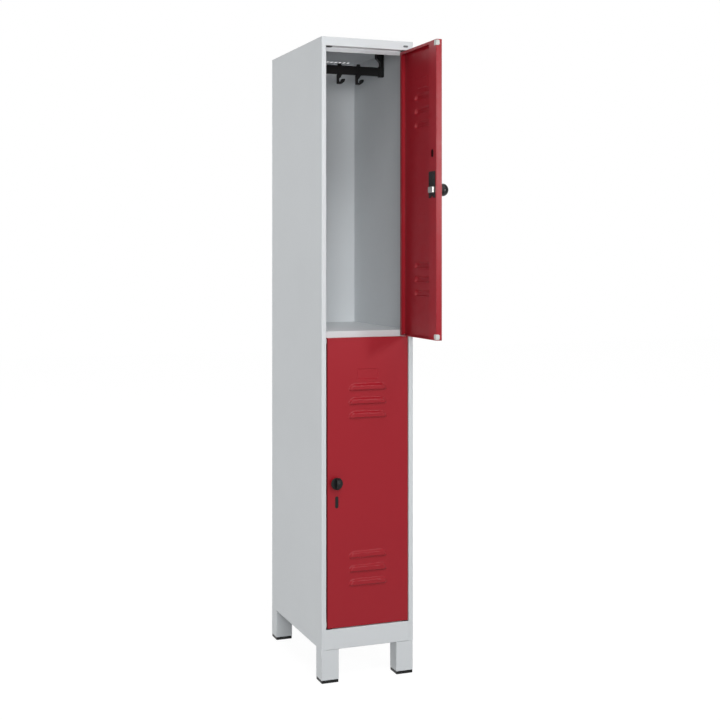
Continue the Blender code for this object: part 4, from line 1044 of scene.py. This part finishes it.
def sheet_sides(corners):
    """Both sides of a folded sheet in section: the given path and the one a thickness to its left."""
    ways = [(Vector(b) - Vector(a)).normalized() for a, b in zip(corners, corners[1:])]
    lefts = [Vector((-w.y, w.x)) for w in ways]
    near = [Vector(corners[0])]
    far = [Vector(corners[0]) + lefts[0] * SHEET]
    for i in range(1, len(corners) - 1):
        turn = 1 if ways[i - 1].cross(ways[i]) > 0 else -1
        near_r = FOLD_R + SHEET if turn > 0 else FOLD_R
        far_r = FOLD_R if turn > 0 else FOLD_R + SHEET
        centre = Vector(corners[i]) + turn * near_r * (lefts[i - 1] + lefts[i])
        for k in range(FOLD_STEPS + 1):
            t = math.radians(90.0 * k / FOLD_STEPS)
            way = -turn * (lefts[i - 1] * math.cos(t) + lefts[i] * math.sin(t))
            near.append(centre + way * near_r)
            far.append(centre + way * far_r)
    near.append(Vector(corners[-1]))
    far.append(Vector(corners[-1]) + lefts[-1] * SHEET)
    return near, far


def build_side(name, mirrored):
    """Side panel: rear flange, wall and stile; the stile's return runs between the two rails only."""
    near, far = sheet_sides([(STILE, DEPTH), (0.0, DEPTH), (0.0, 0.0), (STILE, 0.0), (STILE, STILE_RETURN)])
    full = near + far[::-1]
    last_fold = 1 + 2 * (FOLD_STEPS + 1)
    flush = [Vector((STILE_EDGE, 0.0)) if i >= last_fold else p for i, p in enumerate(near)]
    flush += [Vector((STILE_EDGE, SHEET)) if i >= last_fold else p for i, p in enumerate(far)][::-1]
    levels = [(SIDE_FOOT, flush), (RETURN_FOOT - RETURN_STEP, flush), (RETURN_FOOT, full),
              (RETURN_TOP, full), (RETURN_TOP + RETURN_STEP, flush), (SIDE_TOP, flush)]
    bm = bmesh.new()
    rows = [[(WIDTH - p.x if mirrored else p.x, p.y, z) for p in outline] for z, outline in levels]
    close_ends(bm, grow_loops(bm, rows))
    finish_piece(name + "_sheet", bm, "body_grey", "cabinet", [name])


def soften_node(name, slot, width, thicker=1.0):
    """A CAD piece of the cabinet again, with its folds and edges rounded over."""
    flat_angle = math.radians(0.3)
    fold_angle = math.radians(35)
    bm = bmesh.new()
    bm.from_mesh(frame["nodes"][name].data)
    heights = [vert.co.z for vert in bm.verts]
    middle = (min(heights) + max(heights)) / 2
    for vert in bm.verts:
        vert.co.z = middle + (vert.co.z - middle) * thicker
    bmesh.ops.remove_doubles(bm, verts=bm.verts, dist=MERGE)
    bmesh.ops.dissolve_limit(bm, angle_limit=flat_angle, verts=bm.verts, edges=bm.edges)
    folds = [e for e in bm.edges if len(e.link_faces) == 2 and e.calc_face_angle() > fold_angle]
    bmesh.ops.bevel(bm, geom=folds, offset=width, offset_type="OFFSET", segments=3, profile=0.5,
                    affect="EDGES", clamp_overlap=True)
    finish_piece(name + "_soft", bm, slot, "cabinet", [name], lambda point: point, merge=FINE_MERGE)


def build_sheets():
    """Panels, hinge tab, blocks and plug, which keep the forms of their solids."""
    for name in ("roof_panel", "middle_shelf", "bottom_panel", "base_panel", "back_panel"):
        soften_node(name, "body_grey", SHEET_ROUND)
    soften_node("middle_hinge_tab", "body_grey", SHEET_ROUND, TAB_THICKER)
    for name in ("top_hinge_block", "top_spare_block", "bottom_hinge_block", "bottom_spare_block"):
        soften_node(name, "black_plastic", BLOCK_ROUND)
    soften_node("oval_plug", "plug_grey", SHEET_ROUND)


def build_feet():
    """Tube feet with soft corners, and the moulded caps under them."""
    for name, (x, y) in FEET.items():
        def spot(u, v, z, x=x, y=y):
            return (x + u, y + v, z)

        bm = bmesh.new()
        pillow(bm, rounded_outline(*TUBE_OUTLINE), *TUBE_LEVELS, TUBE_ROUND, spot, 2)
        finish_piece(name + "_tube", bm, "body_grey", "cabinet", [name + "_foot"])
        bm = bmesh.new()
        pillow(bm, rounded_outline(*CAP_OUTLINE), *CAP_LEVELS, 0.0, spot, 6, CAP_ROUND)
        finish_piece(name + "_pad", bm, "black_plastic", "cabinet", [name + "_foot_cap"])


# Camera, light and floor, in the frame's own coordinates

# Camera as fitted to the cabinet's straight edges in the photo: lens and sensor in mm, turn in degrees
SENSOR = 36.0
LENS = 61.742
SHIFT_X = 0.03025
SHIFT_Y = -0.14925
CAMERA_PLACE = (-1.3993, -3.6231, 1.2988)
CAMERA_TURN = 20.419

# Soft lamps as (name, place, target, size, power in watts), and the light of the white world round them
LAMPS = (
    ("front", (-1.5, -4.3, 1.75), (0.0, 0.0, 1.25), (1.6, 1.2), 84),
    ("top_far", (-1.0, -4.6, 6.80), (0.0, 0.0, 1.1), (2.6, 2.6), 158),
    ("top_far_right", (1.4, -4.6, 6.80), (0.0, 0.0, 1.1), (1.8, 1.8), 74),
    ("top_front", (-0.7, -2.4, 3.90), (0.0, 0.0, 1.2), (1.4, 1.4), 8),
    ("edge_right", (1.71, -3.77, 1.88), (0.1, -0.3, 1.55), (0.5, 0.5), 30),
    ("side_left", (-3.3, 1.8, 2.3), (-0.15, 0.12, 1.35), (1.4, 1.4), 23),
    ("left_low", (-3.4, 0.2, 0.7), (-0.15, 0.12, 0.6), (1.4, 1.4), 28),
    ("side_right", (3.6, 1.4, 2.2), (0.15, 0.12, 1.2), (1.6, 1.8), 42),
    ("rear", (0.4, 4.2, 2.2), (0.0, 0.38, 1.2), (1.8, 1.8), 46),
)
WORLD_LIGHT = 0.02

# Floor: reach, grey, and its white as seen directly: its share, and its strength over a span of distances
FLOOR_REACH = 12.0
FLOOR_GREY = (0.50, 0.50, 0.50, 1.0)
FLOOR_ROUGHNESS = 0.9
GLOW_SHARE = 0.80
GLOW_SPAN = (0.5, 3.5)
GLOW_STRENGTH = (1.18, 1.24)


def build_camera():
    data = bpy.data.cameras.new("camera")
    data.sensor_width = SENSOR
    data.lens = LENS
    data.shift_x = SHIFT_X
    data.shift_y = SHIFT_Y
    camera = bpy.data.objects.new("camera", data)
    camera.location = CAMERA_PLACE
    camera.rotation_euler = (math.pi / 2, 0.0, -math.radians(CAMERA_TURN))
    SCENE.collection.objects.link(camera)
    SCENE.camera = camera


def area_light(name, location, target, size, power):
    data = bpy.data.lights.new(name, "AREA")
    data.shape = "RECTANGLE"
    data.size, data.size_y = size
    data.energy = power
    lamp = bpy.data.objects.new(name, data)
    lamp.location = location
    aim = Vector(target) - Vector(location)
    lamp.rotation_euler = aim.to_track_quat("-Z", "Y").to_euler()
    SCENE.collection.objects.link(lamp)


def build_light():
    """The lamps, and a world that is white to look at and gives little light."""
    for lamp in LAMPS:
        area_light(*lamp)
    world = bpy.data.worlds.new("studio")
    SCENE.world = world
    g = Graph(world)
    strength = g.ramp(g.seen_directly(), low=WORLD_LIGHT, span=(0.0, 1.0))
    g.feed(g.tree.nodes["Background"], {"Color": (1.0, 1.0, 1.0, 1.0)}, {"Strength": strength})


def floor_material():
    """Pale floor: white as seen directly, with a share of plain grey that shows the object's shadow."""
    material = bpy.data.materials.new("floor")
    g = Graph(material)
    grey = g.tree.nodes["Principled BSDF"]
    g.feed(grey, {"Base Color": FLOOR_GREY, "Roughness": FLOOR_ROUGHNESS, "Specular IOR Level": 0.0})
    away = g.add("ShaderNodeVectorMath", links={0: g.coords()}, operation="LENGTH").outputs["Value"]
    glow = g.add("ShaderNodeEmission", links={"Strength": g.ramp(away, *GLOW_STRENGTH, GLOW_SPAN)})
    share = g.add("ShaderNodeMath", {1: GLOW_SHARE}, {0: g.seen_directly()}, operation="MULTIPLY")
    links = {"Fac": share.outputs["Value"], 1: grey.outputs["BSDF"], 2: glow.outputs["Emission"]}
    blend = g.add("ShaderNodeMixShader", links=links)
    g.feed(g.tree.nodes["Material Output"], links={"Surface": blend.outputs["Shader"]})
    return material


def build_floor():
    bm = bmesh.new()
    bmesh.ops.create_grid(bm, x_segments=8, y_segments=8, size=FLOOR_REACH)
    mesh = bpy.data.meshes.new("floor")
    bm.to_mesh(mesh)
    bm.free()
    mesh.materials.append(floor_material())
    floor = bpy.data.objects.new("floor", mesh)
    SCENE.collection.objects.link(floor)


SCENE.view_settings.view_transform = "Standard"
build_camera()
build_light()
build_floor()
build_side("left_side_panel", False)
build_side("right_side_panel", True)
build_sheets()
build_feet()
build_hinges()
for door in ("upper", "lower"):
    build_door(door)
    build_knob(door)
    build_insert(door)
    build_buffers(door)
    build_lock(door)
    build_bolt(door)
    build_rail(door)
    for hook, hook_x in HOOKS.items():
        build_hook(door, hook, hook_x)
dress_cad()
